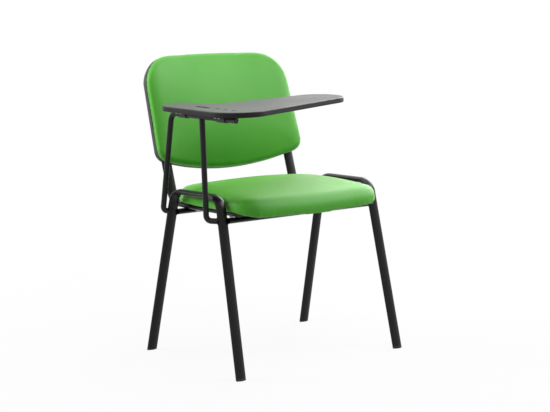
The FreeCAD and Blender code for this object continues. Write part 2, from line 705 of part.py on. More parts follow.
def leg_frame(side, word):
    """One oval tube bent to an inverted U that leans in towards the seat."""
    tilt = math.degrees(math.atan(size("side_slope")))
    upright_plane = FreeCAD.Rotation(REARWARD, UPWARD, ACROSS, "XYZ")
    lean_in = FreeCAD.Rotation(REARWARD, -side * tilt)
    frame = FreeCAD.Placement(V(side * size("foot_half_width"), 0, 0), lean_in.multiply(upright_plane))
    stretch = "sqrt(1 + Sizes.side_slope ^ 2)"
    sole = "Sizes.foot_sole_height"
    corners = [
        ("-Sizes.foot_half_depth + Sizes.front_leg_slope * %s" % sole, "%s * %s" % (sole, stretch), None),
        ("Sizes.top_front_place", "Sizes.top_front_height * " + stretch, "Sizes.leg_bend_radius"),
        ("Sizes.top_rear_place", "Sizes.top_rear_height * " + stretch, "Sizes.leg_bend_radius"),
        ("Sizes.foot_half_depth - Sizes.rear_leg_slope * %s" % sole, "%s * %s" % (sole, stretch), None),
    ]
    tube, outside, front_end = oval_tube(word + "_leg_frame_tube", frame, corners)
    finish(tube, word + "_leg_frame", IN_PLACE)
    rear_foot = leg_point(side, "rear_leg_slope", 1, size("foot_sole_height"))
    rear_top = leg_point(side, "rear_leg_slope", 1, size("top_rear_height"))
    wide = frame.Rotation.multVec(UPWARD)
    rear_end = FreeCAD.Placement(rear_foot, facing(rear_top - rear_foot, wide))
    foot_plug("front_%s_foot" % word, front_end)
    foot_plug("rear_%s_foot" % word, rear_end)
    return outside


def foot_plug(label, end_frame):
    """A plastic plug in a leg's end, with a sole that is cut flat on the floor."""
    body = doc.addObject("PartDesign::Body", label + "_body")
    sole = body_sketch(body, label + "_sole", "XY_Plane")
    draw_oval(sole, "0")
    pad(body, sole, "Sizes.foot_sole_height + Sizes.tube_depth", down=True)
    core = body_sketch(body, label + "_core", "XY_Plane")
    draw_oval(core, "Sizes.tube_wall + Sizes.plug_clearance")
    body.Tip = pad(body, core, "Sizes.plug_length")
    body.Placement = end_frame
    floor = doc.addObject("Part::Box", label + "_floor")
    floor.setExpression("Length", "Sizes.foot_spread_width * 2")
    floor.setExpression("Width", "Sizes.foot_spread_depth * 2")
    floor.setExpression("Height", "Sizes.foot_sole_height * 2 + Sizes.tube_depth")
    reach = V(-size("foot_spread_width"), -size("foot_spread_depth"), 0)
    floor.Placement = FreeCAD.Placement(reach - UPWARD * (2 * size("foot_sole_height") + size("tube_depth")),
                                        FreeCAD.Rotation())
    finish(cut(label, body, [floor]), label, IN_PLACE)


# Cross tubes between the leg frames

def cross_tube(label, place, height, legs):
    """An oval tube that lies flat between the leg frames and is coped to them."""
    body = doc.addObject("PartDesign::Body", label + "_body")
    section = body_sketch(body, label + "_section", "YZ_Plane")
    draw_oval(section, "0")
    draw_oval(section, "Sizes.tube_wall")
    inner_face = "Sizes.foot_half_width - Sizes.side_slope * Sizes.%s - Sizes.tube_width / 2" % height
    body.Tip = pad(body, section, "2 * (%s + Sizes.cope_depth)" % inner_face, midplane=True)
    body.Placement = FreeCAD.Placement(V(0, size(place), size(height)), SEAT_FRAME.Rotation)
    finish(cut(label, body, legs), label, IN_PLACE)


# Back uprights, each bent forward into a rail under the seat

def upright(side, word):
    """One oval tube: a rail under the seat, a bend and an upright into the backrest."""
    frame = FreeCAD.Placement(
        V(side * size("upright_half"), 0, 0), FreeCAD.Rotation(REARWARD, UPWARD, ACROSS, "XYZ")
    )
    corners = [
        ("Sizes.rail_end_place", "Sizes.rail_end_height", None),
        ("Sizes.upright_corner_place", "Sizes.upright_corner_height", "Sizes.upright_bend_radius"),
        ("Sizes.upright_top_place", "Sizes.upright_top_height", None),
    ]
    tube, outside, front_end = oval_tube(word + "_upright_tube", frame, corners)
    holes = [
        cylinder("%s_upright_hole" % word, seat, HOLE_RADIUS, "2 * Sizes.tube_depth")
        for seat in UPRIGHT_HOLES
        if seat.Base.x * side > 0
    ]
    finish(cut(word + "_upright_drilled", tube, holes), word + "_upright", IN_PLACE)
    return front_end


def rail_plugs(ends):
    """Plastic plugs in the front ends of the rails."""
    group = doc.addObject("Part::Compound", "rail_plugs_group")
    links = []
    for index, end in enumerate(ends):
        body = doc.addObject("PartDesign::Body", "rail_plug_%d" % (index + 1))
        head = body_sketch(body, "rail_plug_head_%d" % (index + 1), "XY_Plane")
        draw_oval(head, "0")
        pad(body, head, "Sizes.plug_head_thickness", down=True)
        core = body_sketch(body, "rail_plug_core_%d" % (index + 1), "XY_Plane")
        draw_oval(core, "Sizes.tube_wall + Sizes.plug_clearance")
        body.Tip = pad(body, core, "Sizes.plug_length")
        body.Placement = end
        links.append(body)
    group.Links = links
    finish(group, "rail_plugs", IN_PLACE)


# Bolts of the seat and of the backrest

HOLE_RADIUS = "Sizes.bolt_radius + Sizes.bolt_clearance"
SEAT_BOLT_PLACES = [
    ("%sSizes.upright_half" % sign, "Sizes.seat_bolt_front%s" % row)
    for sign in ("-", "")
    for row in ("", " + Sizes.seat_bolt_spacing")
]
BACK_BOLT_PLACES = [
    ("%sSizes.upright_half" % sign, "Sizes.back_bolt_low%s" % row)
    for sign in ("-", "")
    for row in ("", " + Sizes.back_bolt_spacing")
]


def local_frames(places, height):
    """Frames along +Z at places given as expressions, all at one height."""
    spots = [[float(sizes.evalExpression(word)) for word in place] for place in places]
    return [FreeCAD.Placement(V(across, along, height), FreeCAD.Rotation()) for across, along in spots]


RAIL_UNDERSIDE = local_frames(SEAT_BOLT_PLACES, -size("tube_depth"))
UPRIGHT_REAR = local_frames(BACK_BOLT_PLACES, -size("tube_depth") / 2 - size("back_plane"))


def drill_frames(frames, frame):
    """The same places in the chair's frame, moved back so that a drill starts outside the tube."""
    back_off = FreeCAD.Placement(V(0, 0, -size("tube_depth") / 2), FreeCAD.Rotation())
    return [frame.multiply(item).multiply(back_off) for item in frames]


UPRIGHT_HOLES = drill_frames(RAIL_UNDERSIDE, SEAT_FRAME) + drill_frames(UPRIGHT_REAR, BACK_FRAME)


# Seat

def seat_corners(inset, front_inset):
    """The seat's outline, drawn in by an expression, with a gentle bow at its front and rear."""
    half = "(Sizes.seat_half_width - %s)" % inset
    front = "-Sizes.seat_front_overhang + %s" % front_inset
    rear = "Sizes.seat_rear_reach - %s" % inset
    bow_radius = "%s * %s / (2 * Sizes.seat_bow)" % (half, half)
    apex, side = ["%s * Sizes.seat_bow" % share for share in BOW_SHARES]
    return [
        ("0", "%s - %s" % (front, apex), bow_radius),
        (half, "%s + %s" % (front, side), "Sizes.seat_front_radius"),
        (half, "%s - %s" % (rear, side), "Sizes.seat_rear_radius"),
        ("0", "%s + %s" % (rear, apex), bow_radius),
        ("-" + half, "%s - %s" % (rear, side), "Sizes.seat_rear_radius"),
        ("-" + half, "%s + %s" % (front, side), "Sizes.seat_front_radius"),
    ]


def seat_cover():
    """The thin plastic cover between the rails and the seat board."""
    body = doc.addObject("PartDesign::Body", "seat_cover_body")
    outline = body_sketch(body, "seat_cover_outline", "XY_Plane")
    draw_outline(outline, seat_corners("Sizes.seat_cover_inset", "Sizes.seat_cover_front_inset"))
    pad(body, outline, "Sizes.seat_cover_thickness")
    holes = body_sketch(body, "seat_cover_holes", "XY_Plane")
    draw_circles(holes, SEAT_BOLT_PLACES, HOLE_RADIUS)
    body.Tip = pocket(body, holes, "Sizes.seat_cover_thickness", upwards=True)
    finish(body, "seat_cover", SEAT_FRAME)


def seat_board():
    """The plywood board, with a stepped hole for each tee nut."""
    body = doc.addObject("PartDesign::Body", "seat_board_body")
    outline = body_sketch(body, "seat_board_outline", "XY_Plane")
    raise_sketch(outline, "Sizes.seat_cover_thickness")
    draw_outline(outline, seat_corners("Sizes.seat_board_inset", "Sizes.seat_board_front_inset"))
    pad(body, outline, "Sizes.seat_board_thickness")
    top = "Sizes.seat_cover_thickness + Sizes.seat_board_thickness"
    barrels = body_sketch(body, "seat_board_barrels", "XY_Plane")
    raise_sketch(barrels, top)
    draw_circles(barrels, SEAT_BOLT_PLACES, "Sizes.tee_nut_barrel_radius + Sizes.thread_clearance")
    pocket(body, barrels, "Sizes.seat_board_thickness")
    seats = body_sketch(body, "seat_board_seats", "XY_Plane")
    raise_sketch(seats, top)
    draw_circles(seats, SEAT_BOLT_PLACES, "Sizes.tee_nut_flange_radius + Sizes.thread_clearance")
    body.Tip = pocket(body, seats, "Sizes.tee_nut_flange_thickness")
    finish(body, "seat_board", SEAT_FRAME)
    return body


def seat_cushion():
    """The foam cushion, crowned, wrapped down round the board's edge."""
    panel = Panel(
        size("seat_depth"),
        2 * size("seat_half_width"),
        2 * size("seat_half_width"),
        size("seat_front_radius"),
        size("seat_rear_radius"),
        size("seat_bow"),
        size("seat_bow"),
        0,
        (size("seat_droop"), size("seat_droop_run")),
    )
    form = panel.crowned(
        0,
        0,
        size("seat_rim_height"),
        size("seat_shoulder_height"),
        size("seat_crown_height"),
        size("seat_front_round"),
        size("seat_rear_round"),
        size("seat_side_round"),
        size("edge_tuck"),
    )
    board = doc.addObject("PartDesign::Body", "seat_cushion_hollow_body")
    outline = body_sketch(board, "seat_cushion_hollow_outline", "XY_Plane")
    draw_outline(outline, seat_corners("Sizes.seat_board_inset", "Sizes.seat_board_front_inset"))
    board.Tip = pad(board, outline, "Sizes.seat_cover_thickness + Sizes.seat_board_thickness")
    rails = doc.addObject("Part::Box", "seat_cushion_rail_space")
    rails.setExpression("Length", "2 * (Sizes.seat_half_width + Sizes.overrun)")
    rails.setExpression("Width", "Sizes.seat_droop_run")
    rails.setExpression("Height", "Sizes.overrun")
    side = size("seat_half_width") + size("overrun")
    corner = V(-side, -size("rail_overrun") - size("overrun") / 2, size("rail_clearance") - size("overrun"))
    rails.Placement = FreeCAD.Placement(corner, FreeCAD.Rotation())
    block = feature("seat_cushion_form", form.translate(V(0, -size("seat_front_overhang"), 0)))
    finish(cut("seat_cushion", block, [board, rails]), "seat_cushion", SEAT_FRAME)


def seat_fasteners():
    """Bolts up through the rails, and the tee nuts in the board that take them."""
    thread = "Sizes.seat_cover_reach + Sizes.seat_board_thickness - Sizes.bolt_clearance"
    fasteners("seat_bolts", bolt_outline(thread), RAIL_UNDERSIDE, SEAT_FRAME)
    top = size("seat_cover_thickness") + size("seat_board_thickness")
    nuts = local_frames(SEAT_BOLT_PLACES, top)
    fasteners("seat_tee_nuts", tee_nut_outline("Sizes.seat_board_thickness"), nuts, SEAT_FRAME)


# Backrest

def back_panel():
    """The backrest's outline, curved round the sitter."""
    return Panel(
        size("back_height"),
        size("back_bottom_width"),
        size("back_top_width"),
        size("back_bottom_radius"),
        size("back_top_radius"),
        size("back_bottom_bow"),
        size("back_top_bow"),
        size("back_curve_radius"),
    )


def backrest_board(panel):
    """The curved plywood board, with a stepped hole for each tee nut."""
    board = feature("backrest_board_form", panel.slab(size("back_board_inset"), 0, size("back_board_thickness")))
    front = size("back_curve_set") + size("back_board_thickness")
    tools = []
    for index, place in enumerate(local_frames(BACK_BOLT_PLACES, 0)):
        tools.append(
            cylinder(
                "backrest_board_barrel_%d" % index,
                place,
                "Sizes.tee_nut_barrel_radius + Sizes.thread_clearance",
                "Sizes.back_curve_set + Sizes.back_board_thickness + Sizes.overrun",
            )
        )
        seat = FreeCAD.Placement(place.Base + UPWARD * (front - tee_nut_depth()), FreeCAD.Rotation())
        tools.append(
            cylinder(
                "backrest_board_seat_%d" % index,
                seat,
                "Sizes.tee_nut_flange_radius + Sizes.thread_clearance",
                "Sizes.back_board_thickness + Sizes.overrun",
            )
        )
    tools += shell_screw_holes("backrest_board_pilot", "Sizes.screw_hole_radius")
    finish(cut("backrest_board", board, tools), "backrest_board", BACK_FRAME)


def tee_nut_depth():
    """How deep a flange is sunk into the curved board, so that its edge stays inside."""
    slope = size("upright_half") / size("back_curve_radius")
    return size("tee_nut_flange_thickness") + slope * (size("tee_nut_flange_radius") + size("thread_clearance"))


def backrest_cushion(panel):
    """The foam cushion, crowned, wrapped round the board's edge."""
    form = panel.crowned(
        0,
        0,
        size("back_rim_thickness"),
        size("back_shoulder_thickness"),
        size("back_crown_thickness"),
        size("back_edge_round"),
        size("back_edge_round"),
        size("back_side_round"),
        size("edge_tuck"),
    )
    hollow = panel.slab(size("back_board_inset"), -size("overrun"), size("back_board_thickness"))
    block = feature("backrest_cushion_form", form)
    finish(
        cut("backrest_cushion", block, [feature("backrest_cushion_hollow", hollow)]),
        "backrest_cushion",
        BACK_FRAME,
    )


def shell_form(panel, inset, base):
    """The back shell's outside, or the space inside it, as a form behind the board."""
    mirror = Panel(
        panel.length,
        panel.low_width,
        panel.high_width,
        panel.low_radius,
        panel.high_radius,
        panel.low_bow,
        panel.high_bow,
        -panel.curve,
    )
    form = mirror.crowned(
        size("shell_inset") + inset,
        base,
        size("shell_rim_depth") - inset,
        size("shell_depth") - inset,
        size("shell_depth") - inset,
        size("shell_edge_round"),
        size("shell_edge_round"),
        size("shell_side_round"),
        0,
    )
    return flipped(form)


def backrest_shell(panel):
    """The moulded shell behind the board, open for the uprights, with four screw bosses."""
    outside = feature("backrest_shell_outside", shell_form(panel, 0, 0))
    inside = feature("backrest_shell_inside", shell_form(panel, size("shell_wall"), -size("overrun")))
    slots = []
    for side in (RIGHT, LEFT):
        body = doc.addObject("PartDesign::Body", "shell_slot_body")
        section = body_sketch(body, "shell_slot_section", "XZ_Plane")
        draw_oval(section, "-Sizes.shell_slot_clearance")
        body.Tip = pad(body, section, "2 * (Sizes.overrun + Sizes.back_bottom_bow)", midplane=True)
        body.Placement = FreeCAD.Placement(
            V(side * size("upright_half"), size("back_bottom_bow"), -size("back_plane")), FreeCAD.Rotation()
        )
        slots.append(body)
    hollow = cut("backrest_shell_hollow", outside, [inside] + slots)
    bosses = []
    for index, place in enumerate(local_frames(SHELL_BOSS_PLACES, size("shell_boss_plane"))):
        boss = FreeCAD.Placement(place.Base + UPWARD * size("shell_wall") / 2, FreeCAD.Rotation())
        bosses.append(
            cylinder("shell_boss_%d" % index, boss, "Sizes.shell_boss_radius", "Sizes.shell_depth + Sizes.overrun")
        )
    holes = shell_screw_holes("shell_screw_hole", "Sizes.screw_radius + Sizes.bolt_clearance")
    for index, place in enumerate(local_frames(SHELL_BOSS_PLACES, size("shell_screw_plane") - size("overrun"))):
        seat_radius = "Sizes.screw_head_radius + Sizes.bolt_clearance"
        holes.append(cylinder("shell_screw_seat_%d" % index, place, seat_radius, "Sizes.overrun"))
    whole = doc.addObject("Part::MultiFuse", "backrest_shell_whole")
    whole.Shapes = [hollow] + bosses
    front = panel.slab(-size("overrun"), 0, size("shell_depth") + size("overrun"))
    trimmed = cut("backrest_shell", whole, holes + [feature("backrest_shell_front", front)])
    finish(trimmed, "backrest_shell", BACK_FRAME)


def shell_screw_holes(name, radius):
    """Holes for the shell's screws, from under their heads to their tips."""
    frames = local_frames(SHELL_BOSS_PLACES, size("shell_screw_plane"))
    return [
        cylinder("%s_%d" % (name, index), frame, radius, "Sizes.shell_screw_length")
        for index, frame in enumerate(frames)
    ]


SHELL_BOSS_PLACES = [
    ("%sSizes.shell_boss_half" % sign, "Sizes.%s" % row)
    for sign in ("-", "")
    for row in ("shell_boss_low", "shell_boss_high")
]


def backrest_fasteners():
    """Bolts through the uprights, their tee nuts, and the screws that hold the shell."""
    front = size("back_curve_set") + size("back_board_thickness")
    flange = front - tee_nut_depth() + size("tee_nut_flange_thickness")
    barrel = "Sizes.back_board_thickness"
    nuts = local_frames(BACK_BOLT_PLACES, flange)
    fasteners("backrest_tee_nuts", tee_nut_outline(barrel + " - 2 * Sizes.tee_nut_flange_thickness"), nuts, BACK_FRAME)
    reach = "Sizes.tube_depth + Sizes.back_standoff + Sizes.back_board_thickness"
    fasteners("backrest_bolts", bolt_outline(reach + " - Sizes.tee_nut_flange_thickness * 2"), UPRIGHT_REAR, BACK_FRAME)
    screws = local_frames(SHELL_BOSS_PLACES, size("shell_screw_plane"))
    fasteners("shell_screws", screw_outline("(Sizes.shell_screw_length - Sizes.thread_clearance)"), screws, BACK_FRAME)


# Tablet support

def space_path(points, radii):
    """A path in space of straight runs joined by tangent arcs, one radius for each inner point."""
    edges = []
    start = points[0]
    for here, after, radius in zip(points[1:-1], points[2:], radii):
        towards = (start - here).normalize()
        onwards = (after - here).normalize()
        half = towards.getAngle(onwards) / 2
        cut_back = radius / math.tan(half)
        into = here + towards * cut_back
        out = here + onwards * cut_back
        middle = here + (towards + onwards).normalize() * (radius / math.sin(half) - radius)
        edges.append(Part.LineSegment(start, into).toShape())
        edges.append(Part.Arc(into, middle, out).toShape())
        start = out
    edges.append(Part.LineSegment(start, points[-1]).toShape())
    return Part.Wire(edges)


def round_rod(path, radius):
    """A round solid along a path."""
    start = path.Edges[0]
    along = start.tangentAt(start.FirstParameter)
    circle = Part.Circle(start.valueAt(start.FirstParameter), along, radius)
    return path.makePipeShell([Part.Wire(circle.toShape())], True, False)


def post_foot(slope_word, end):
    """Where a post's inturned end meets the side of a leg, one cope inside it."""
    centre = leg_point(RIGHT, slope_word, end, size("post_foot_height"))
    return centre - ACROSS * (size("tube_width") / 2 - size("cope_depth"))


def tablet_support(leg):
    """The rear post and the bar in one bent tube, and the front post, welded to the leg frame."""
    axis = -size("axis_place")
    foot = size("post_foot_height")
    top = size("bar_height")
    radius = size("support_radius")
    wall = size("support_tube_wall")
    rear_foot = post_foot("rear_leg_slope", 1)
    rear_points = [
        rear_foot,
        V(axis, rear_foot.y, foot),
        V(axis, size("rear_post_top"), top),
        V(axis, -size("bar_front_reach"), top),
    ]
    rear_path = space_path(rear_points, [size("post_foot_radius"), size("bar_bend_radius")])
    rear_outside = feature("tablet_support_outside", round_rod(rear_path, radius))
    rear_bore = feature("tablet_support_bore", round_rod(rear_path, radius - wall))
    rear_coped = cut("tablet_support_coped", rear_outside, [leg])
    finish(cut("tablet_support_tube", rear_coped, [rear_bore]), "tablet_support", IN_PLACE)
    front_points = [
        post_foot("front_leg_slope", -1),
        V(axis, -size("front_post_foot"), foot),
        V(axis, -size("front_post_top"), top),
    ]
    front_path = space_path(front_points, [size("post_foot_radius")])
    front_outside = feature("tablet_front_post_outside", round_rod(front_path, radius))
    front_bore = feature("tablet_front_post_bore", round_rod(front_path, radius - wall))
    front_coped = cut("tablet_front_post_coped", front_outside, [leg, rear_outside])
    finish(cut("tablet_front_post_tube", front_coped, [front_bore]), "tablet_front_post", IN_PLACE)
    return rear_outside


def bar_plug():
    """The round plug in the bar's front end."""
    outline = [
        ("0", "-Sizes.plug_length"),
        ("Sizes.support_radius - Sizes.support_tube_wall - Sizes.plug_clearance", "-Sizes.plug_length"),
        ("Sizes.support_radius - Sizes.support_tube_wall - Sizes.plug_clearance", "0"),
        ("Sizes.support_radius + Sizes.plug_clearance", "0"),
        ("Sizes.support_radius + Sizes.plug_clearance", "Sizes.bar_plug_head - Sizes.plug_head_thickness"),
        ("Sizes.support_radius - Sizes.plug_head_thickness", "Sizes.bar_plug_head"),
        ("0", "Sizes.bar_plug_head"),
    ]
    end = V(-size("axis_place"), -size("bar_front_reach"), size("bar_height"))
    frame = FreeCAD.Placement(end, facing(-REARWARD, ACROSS))
    fasteners("bar_plug", outline, [IN_PLACE], frame)


def stop_tab(bar):
    """The steel tab welded to the bar, which carries the rubber buffer under the tablet."""
    body = doc.addObject("PartDesign::Body", "stop_tab_body")
    outline = body_sketch(body, "stop_tab_outline", "XY_Plane")
    top = "Sizes.tablet_underside - Sizes.buffer_gap - Sizes.buffer_height"
    raise_sketch(outline, "%s - Sizes.stop_thickness" % top)
    near = "-Sizes.stop_place - Sizes.stop_width / 2"
    far = "-Sizes.stop_place + Sizes.stop_width / 2"
    draw_outline(
        outline,
        [
            ("0", near, None),
            ("Sizes.stop_reach", near, "Sizes.buffer_radius"),
            ("Sizes.stop_reach", far, "Sizes.buffer_radius"),
            ("0", far, None),
        ],
    )
    body.Tip = pad(body, outline, "Sizes.stop_thickness")
    body.Placement = TABLET_FRAME
    finish(cut("stop_tab_coped", body, [bar]), "tablet_stop", IN_PLACE)
    buffer_outline = [("0", "0"), ("Sizes.buffer_radius", "0"), ("Sizes.buffer_radius", "Sizes.buffer_height"),
                      ("0", "Sizes.buffer_height")]
    seat = size("tablet_underside") - size("buffer_gap") - size("buffer_height")
    place = V(size("stop_reach") - size("stop_width") / 2, -size("stop_place"), seat)
    fasteners("stop_buffer", buffer_outline, [FreeCAD.Placement(place, FreeCAD.Rotation())], TABLET_FRAME)


# Tablet

def clip_screw_places(centre):
    """The four screws of one clip, as pairs of expressions."""
    rows = [" - Sizes.clip_screw_pitch / 2", " + Sizes.clip_screw_pitch / 2"]
    return [("%sSizes.clip_screw_spacing / 2" % across, centre + row) for across in ("-", "") for row in rows]


CLIPS = ("rear", "front")


def tablet_top():
    """The writing tablet: a plate with rounded edges and a pen groove, drilled for the clips' screws."""
    body = doc.addObject("PartDesign::Body", "tablet_top_body")
    outline = body_sketch(body, "tablet_outline", "XY_Plane")
    raise_sketch(outline, "Sizes.tablet_underside")
    front = "(Sizes.tablet_rear_reach - Sizes.tablet_depth)"
    corners = []
    for across, along, radius in TABLET_CORNER_SHARES:
        corners.append(
            (
                "-Sizes.tablet_overhang + Sizes.tablet_length * %s" % across,
                "%s + Sizes.tablet_depth * (%s)" % (front, along),
                "Sizes.tablet_depth * %s" % radius,
            )
        )
    draw_outline(outline, corners)
    body.Tip = pad(body, outline, "Sizes.tablet_thickness")
    doc.recompute()
    round_edges(body, False, "tablet_bottom_round")
    round_edges(body, True, "tablet_top_round")
    top = "Sizes.tablet_underside + Sizes.tablet_thickness"
    groove = body_sketch(body, "tablet_groove", "XY_Plane")
    raise_sketch(groove, top)
    half = "Sizes.groove_width / 2"
    left = "Sizes.groove_offset - " + half
    right = "Sizes.groove_offset + " + half
    rear = "-Sizes.groove_rear_end"
    fore = "-(Sizes.groove_rear_end + Sizes.groove_length)"
    slot_corners = [(left, fore), (right, fore), (right, rear), (left, rear)]
    corner = "Sizes.groove_corner_share * Sizes.groove_width"
    draw_outline(groove, [(across, along, corner) for across, along in slot_corners])
    pocket(body, groove, "Sizes.groove_depth")
    holes = body_sketch(body, "tablet_holes", "XY_Plane")
    raise_sketch(holes, "Sizes.tablet_underside")
    for word in CLIPS:
        draw_circles(holes, clip_screw_places("Sizes.%s_clip_place" % word), "Sizes.screw_hole_radius")
    body.Tip = pocket(body, holes, "Sizes.clip_screw_length - Sizes.clip_flange_thickness", upwards=True)
    finish(body, "tablet_top", TABLET_FRAME)


def round_edges(body, highest, radius_word):
    """Round the outer edge of the tablet at its upper or lower face."""
    base = body.Tip
    shape = base.Shape
    flat = [face for face in shape.Faces if is_level(face)]
    face = sorted(flat, key=lambda item: item.CenterOfMass.z)[-1 if highest else 0]
    names = []
    for index, edge in enumerate(shape.Edges):
        if any(edge.isSame(part) for part in face.OuterWire.Edges):
            names.append("Edge%d" % (index + 1))
    fillet = body.newObject("PartDesign::Fillet", "Fillet")
    fillet.Base = (base, names)
    fillet.setExpression("Radius", "Sizes." + radius_word)
    body.Tip = fillet
    doc.recompute()


def is_level(face):
    """Whether a face is flat and level."""
    return isinstance(face.Surface, Part.Plane) and abs(face.Surface.Axis.z) > math.cos(math.radians(1))


def hinge_clip(word):
    """A plastic saddle round the bar, with flanges that are screwed to the tablet."""
    label = word + "_hinge_clip"
    body = doc.addObject("PartDesign::Body", label + "_body")
    section = body_sketch(body, label + "_section", "XZ_Plane")
    flange = "Sizes.clip_flange_width / 2"
    base = "Sizes.clip_flange_base"
    top = "Sizes.tablet_underside"
    round_wall = "Sizes.clip_radius"
    corners = [
        ("-Sizes.clip_bore", top, None),
        ("-(%s)" % flange, top, None),
        ("-(%s)" % flange, base, None),
        ("-" + round_wall, base, None),
        ("-" + round_wall, "-" + round_wall, round_wall + " * Sizes.clip_corner_share"),
        (round_wall, "-" + round_wall, round_wall + " * Sizes.clip_corner_share"),
        (round_wall, base, None),
        (flange, base, None),
        (flange, top, None),
        ("Sizes.clip_bore", top, None),
        ("Sizes.clip_bore", "-Sizes.clip_bore", "Sizes.clip_bore * Sizes.clip_bore_share"),
        ("-Sizes.clip_bore", "-Sizes.clip_bore", "Sizes.clip_bore * Sizes.clip_bore_share"),
    ]
    draw_outline(section, corners)
    pad(body, section, "Sizes.clip_length", midplane=True)
    holes = body_sketch(body, label + "_holes", "XY_Plane")
    raise_sketch(holes, top)
    draw_circles(holes, clip_screw_places("0"), "Sizes.screw_radius + Sizes.bolt_clearance")
    body.Tip = pocket(body, holes, "Sizes.clip_flange_thickness")
    place = FreeCAD.Placement(V(0, size(word + "_clip_place"), 0), FreeCAD.Rotation())
    finish(body, label, TABLET_FRAME.multiply(place))


def clip_screws():
    """The screws of both clips, driven up into the tablet."""
    places = []
    for word in CLIPS:
        places += clip_screw_places("Sizes.%s_clip_place" % word)
    frames = local_frames(places, size("clip_flange_base"))
    fasteners("clip_screws", screw_outline("(Sizes.clip_screw_length - Sizes.thread_clearance)"), frames, TABLET_FRAME)


# Assembly

def build():
    """Make every piece."""
    right_leg = leg_frame(RIGHT, "right")
    left_leg = leg_frame(LEFT, "left")
    cross_tube("front_cross_tube", "front_cross_place", "cross_tube_height", [right_leg, left_leg])
    cross_tube("rear_cross_tube", "rear_cross_place", "rear_cross_height", [right_leg, left_leg])
    rail_plugs([upright(RIGHT, "right"), upright(LEFT, "left")])
    seat_cover()
    seat_board()
    seat_cushion()
    seat_fasteners()
    panel = back_panel()
    backrest_board(panel)
    backrest_cushion(panel)
    backrest_shell(panel)
    backrest_fasteners()
    bar = tablet_support(right_leg)
    bar_plug()
    stop_tab(bar)
    tablet_top()
    for word in CLIPS:
        hinge_clip(word)
    clip_screws()


def check():
    """Stop when a step of the document failed or a piece is empty or broken."""
    doc.recompute()
    for item in doc.Objects:
        if "Invalid" in item.State or "Error" in item.State:
            raise RuntimeError("%s failed: %s" % (item.Name, item.State))
    for item in pieces:
        if item.Shape.isNull() or not item.Shape.isValid() or not item.Shape.Solids:
            raise RuntimeError("%s has no valid solid" % item.Label)


def write():
    """Write each piece to its own file."""
    os.makedirs("parts", exist_ok=True)
    for item in pieces:
        item.Shape.exportStep("parts/%s.step" % item.Label)
        print("%-20s %d solid(s), %.1f cm3" % (item.Label, len(item.Shape.Solids), item.Shape.Volume / 1000))


build()
check()
write()
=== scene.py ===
import json
import math

import bmesh
import bpy
import numpy as np
from bpy.props import FloatProperty, FloatVectorProperty, IntProperty, PointerProperty
from mathutils import Euler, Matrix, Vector
from mathutils.bvhtree import BVHTree


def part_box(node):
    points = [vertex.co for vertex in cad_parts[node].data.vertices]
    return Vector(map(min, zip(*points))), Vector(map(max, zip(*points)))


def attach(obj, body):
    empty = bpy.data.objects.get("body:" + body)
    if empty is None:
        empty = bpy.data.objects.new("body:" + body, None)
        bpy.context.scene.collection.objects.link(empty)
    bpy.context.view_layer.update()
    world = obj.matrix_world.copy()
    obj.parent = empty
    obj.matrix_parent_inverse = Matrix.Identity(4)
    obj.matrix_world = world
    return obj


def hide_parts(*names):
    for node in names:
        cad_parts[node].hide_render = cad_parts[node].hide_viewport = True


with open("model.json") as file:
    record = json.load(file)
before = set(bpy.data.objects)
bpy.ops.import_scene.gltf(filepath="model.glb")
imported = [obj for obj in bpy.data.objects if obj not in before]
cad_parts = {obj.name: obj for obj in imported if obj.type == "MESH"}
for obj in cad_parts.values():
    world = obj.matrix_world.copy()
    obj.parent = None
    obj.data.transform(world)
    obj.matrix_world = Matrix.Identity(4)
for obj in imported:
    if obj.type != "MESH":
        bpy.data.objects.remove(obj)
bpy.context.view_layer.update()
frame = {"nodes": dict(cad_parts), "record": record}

bl_info = {
    "name": "Conference chair with writing tablet",
    "version": (1, 0, 0),
    "blender": (4, 5, 0),
    "location": "3D View > Sidebar > Chair",
    "description": "Upholstery, finishes, small trim and studio for a stacking chair with a folding tablet",
    "category": "Object",
}

NODES = frame["nodes"]
CHAIR = "chair"
TABLET = "tablet"
UPWARD = Vector((0, 0, 1))

# How the cushions lie: the seat's fall to the rear, the backrest's lean and the radius of its bow
SEAT_FALL = math.radians(1.0)
BACK_LEAN = math.radians(18.0)
BACK_BOW = 1.25

# The cover's cloth, how high over the board it is held, and the small folds round a cushion's corners
COVER = {
    "quality": 6,
    "mass": 0.35,
    "tension_stiffness": 30,
    "compression_stiffness": 30,
    "shear_stiffness": 12,
    "bending_stiffness": 5,
    "use_pressure": True,
}
GRIP_SHARE = 1.2
GRIP_HEIGHT = 0.012
FACING_BOARD = -0.4
FIRST_ROUNDS = 6
LAST_ROUNDS = 8
EVENING = 0.5
FINE_FOLDS = 96
COARSE_FOLDS = 61
FOLD_FOOT = 0.004

# Where a weld's rays start and how far they reach: cross tubes, the posts' feet and the front post's head
TUBE_INSIDE = 0.02
TUBE_REACH = 0.03
POST_INSIDE = 0.009
POST_REACH = 0.02
HEAD_INSIDE = 0.02
HEAD_AXIS = (0, 0.06, 1)
FOOT_SLICE = 0.003
HEAD_SLICE = 0.006
FLUSH_SIDE = 0.003
SKIN_CLEARANCE = 0.0004
BEAD_BITE = 0.0002

# Each lamp's place, the height on the chair that it points at, its width and its height
LAMPS = {
    "key": ((2.3, -1.6, 2.5), 0.6, 1.6, 1.2),
    "left": ((-2.1, 1.3, 1.7), 0.5, 1.4, 1.2),
    "right": ((2.6, 0.8, 1.7), 0.5, 2.2, 1.8),
    "top": ((0.1, -0.2, 2.8), 0.4, 1.8, 1.8),
    "back": ((0.9, 3.0, 1.0), 0.5, 3.2, 1.2),
}
FLOOR_REACH = 30.0


# Settings that a user would change

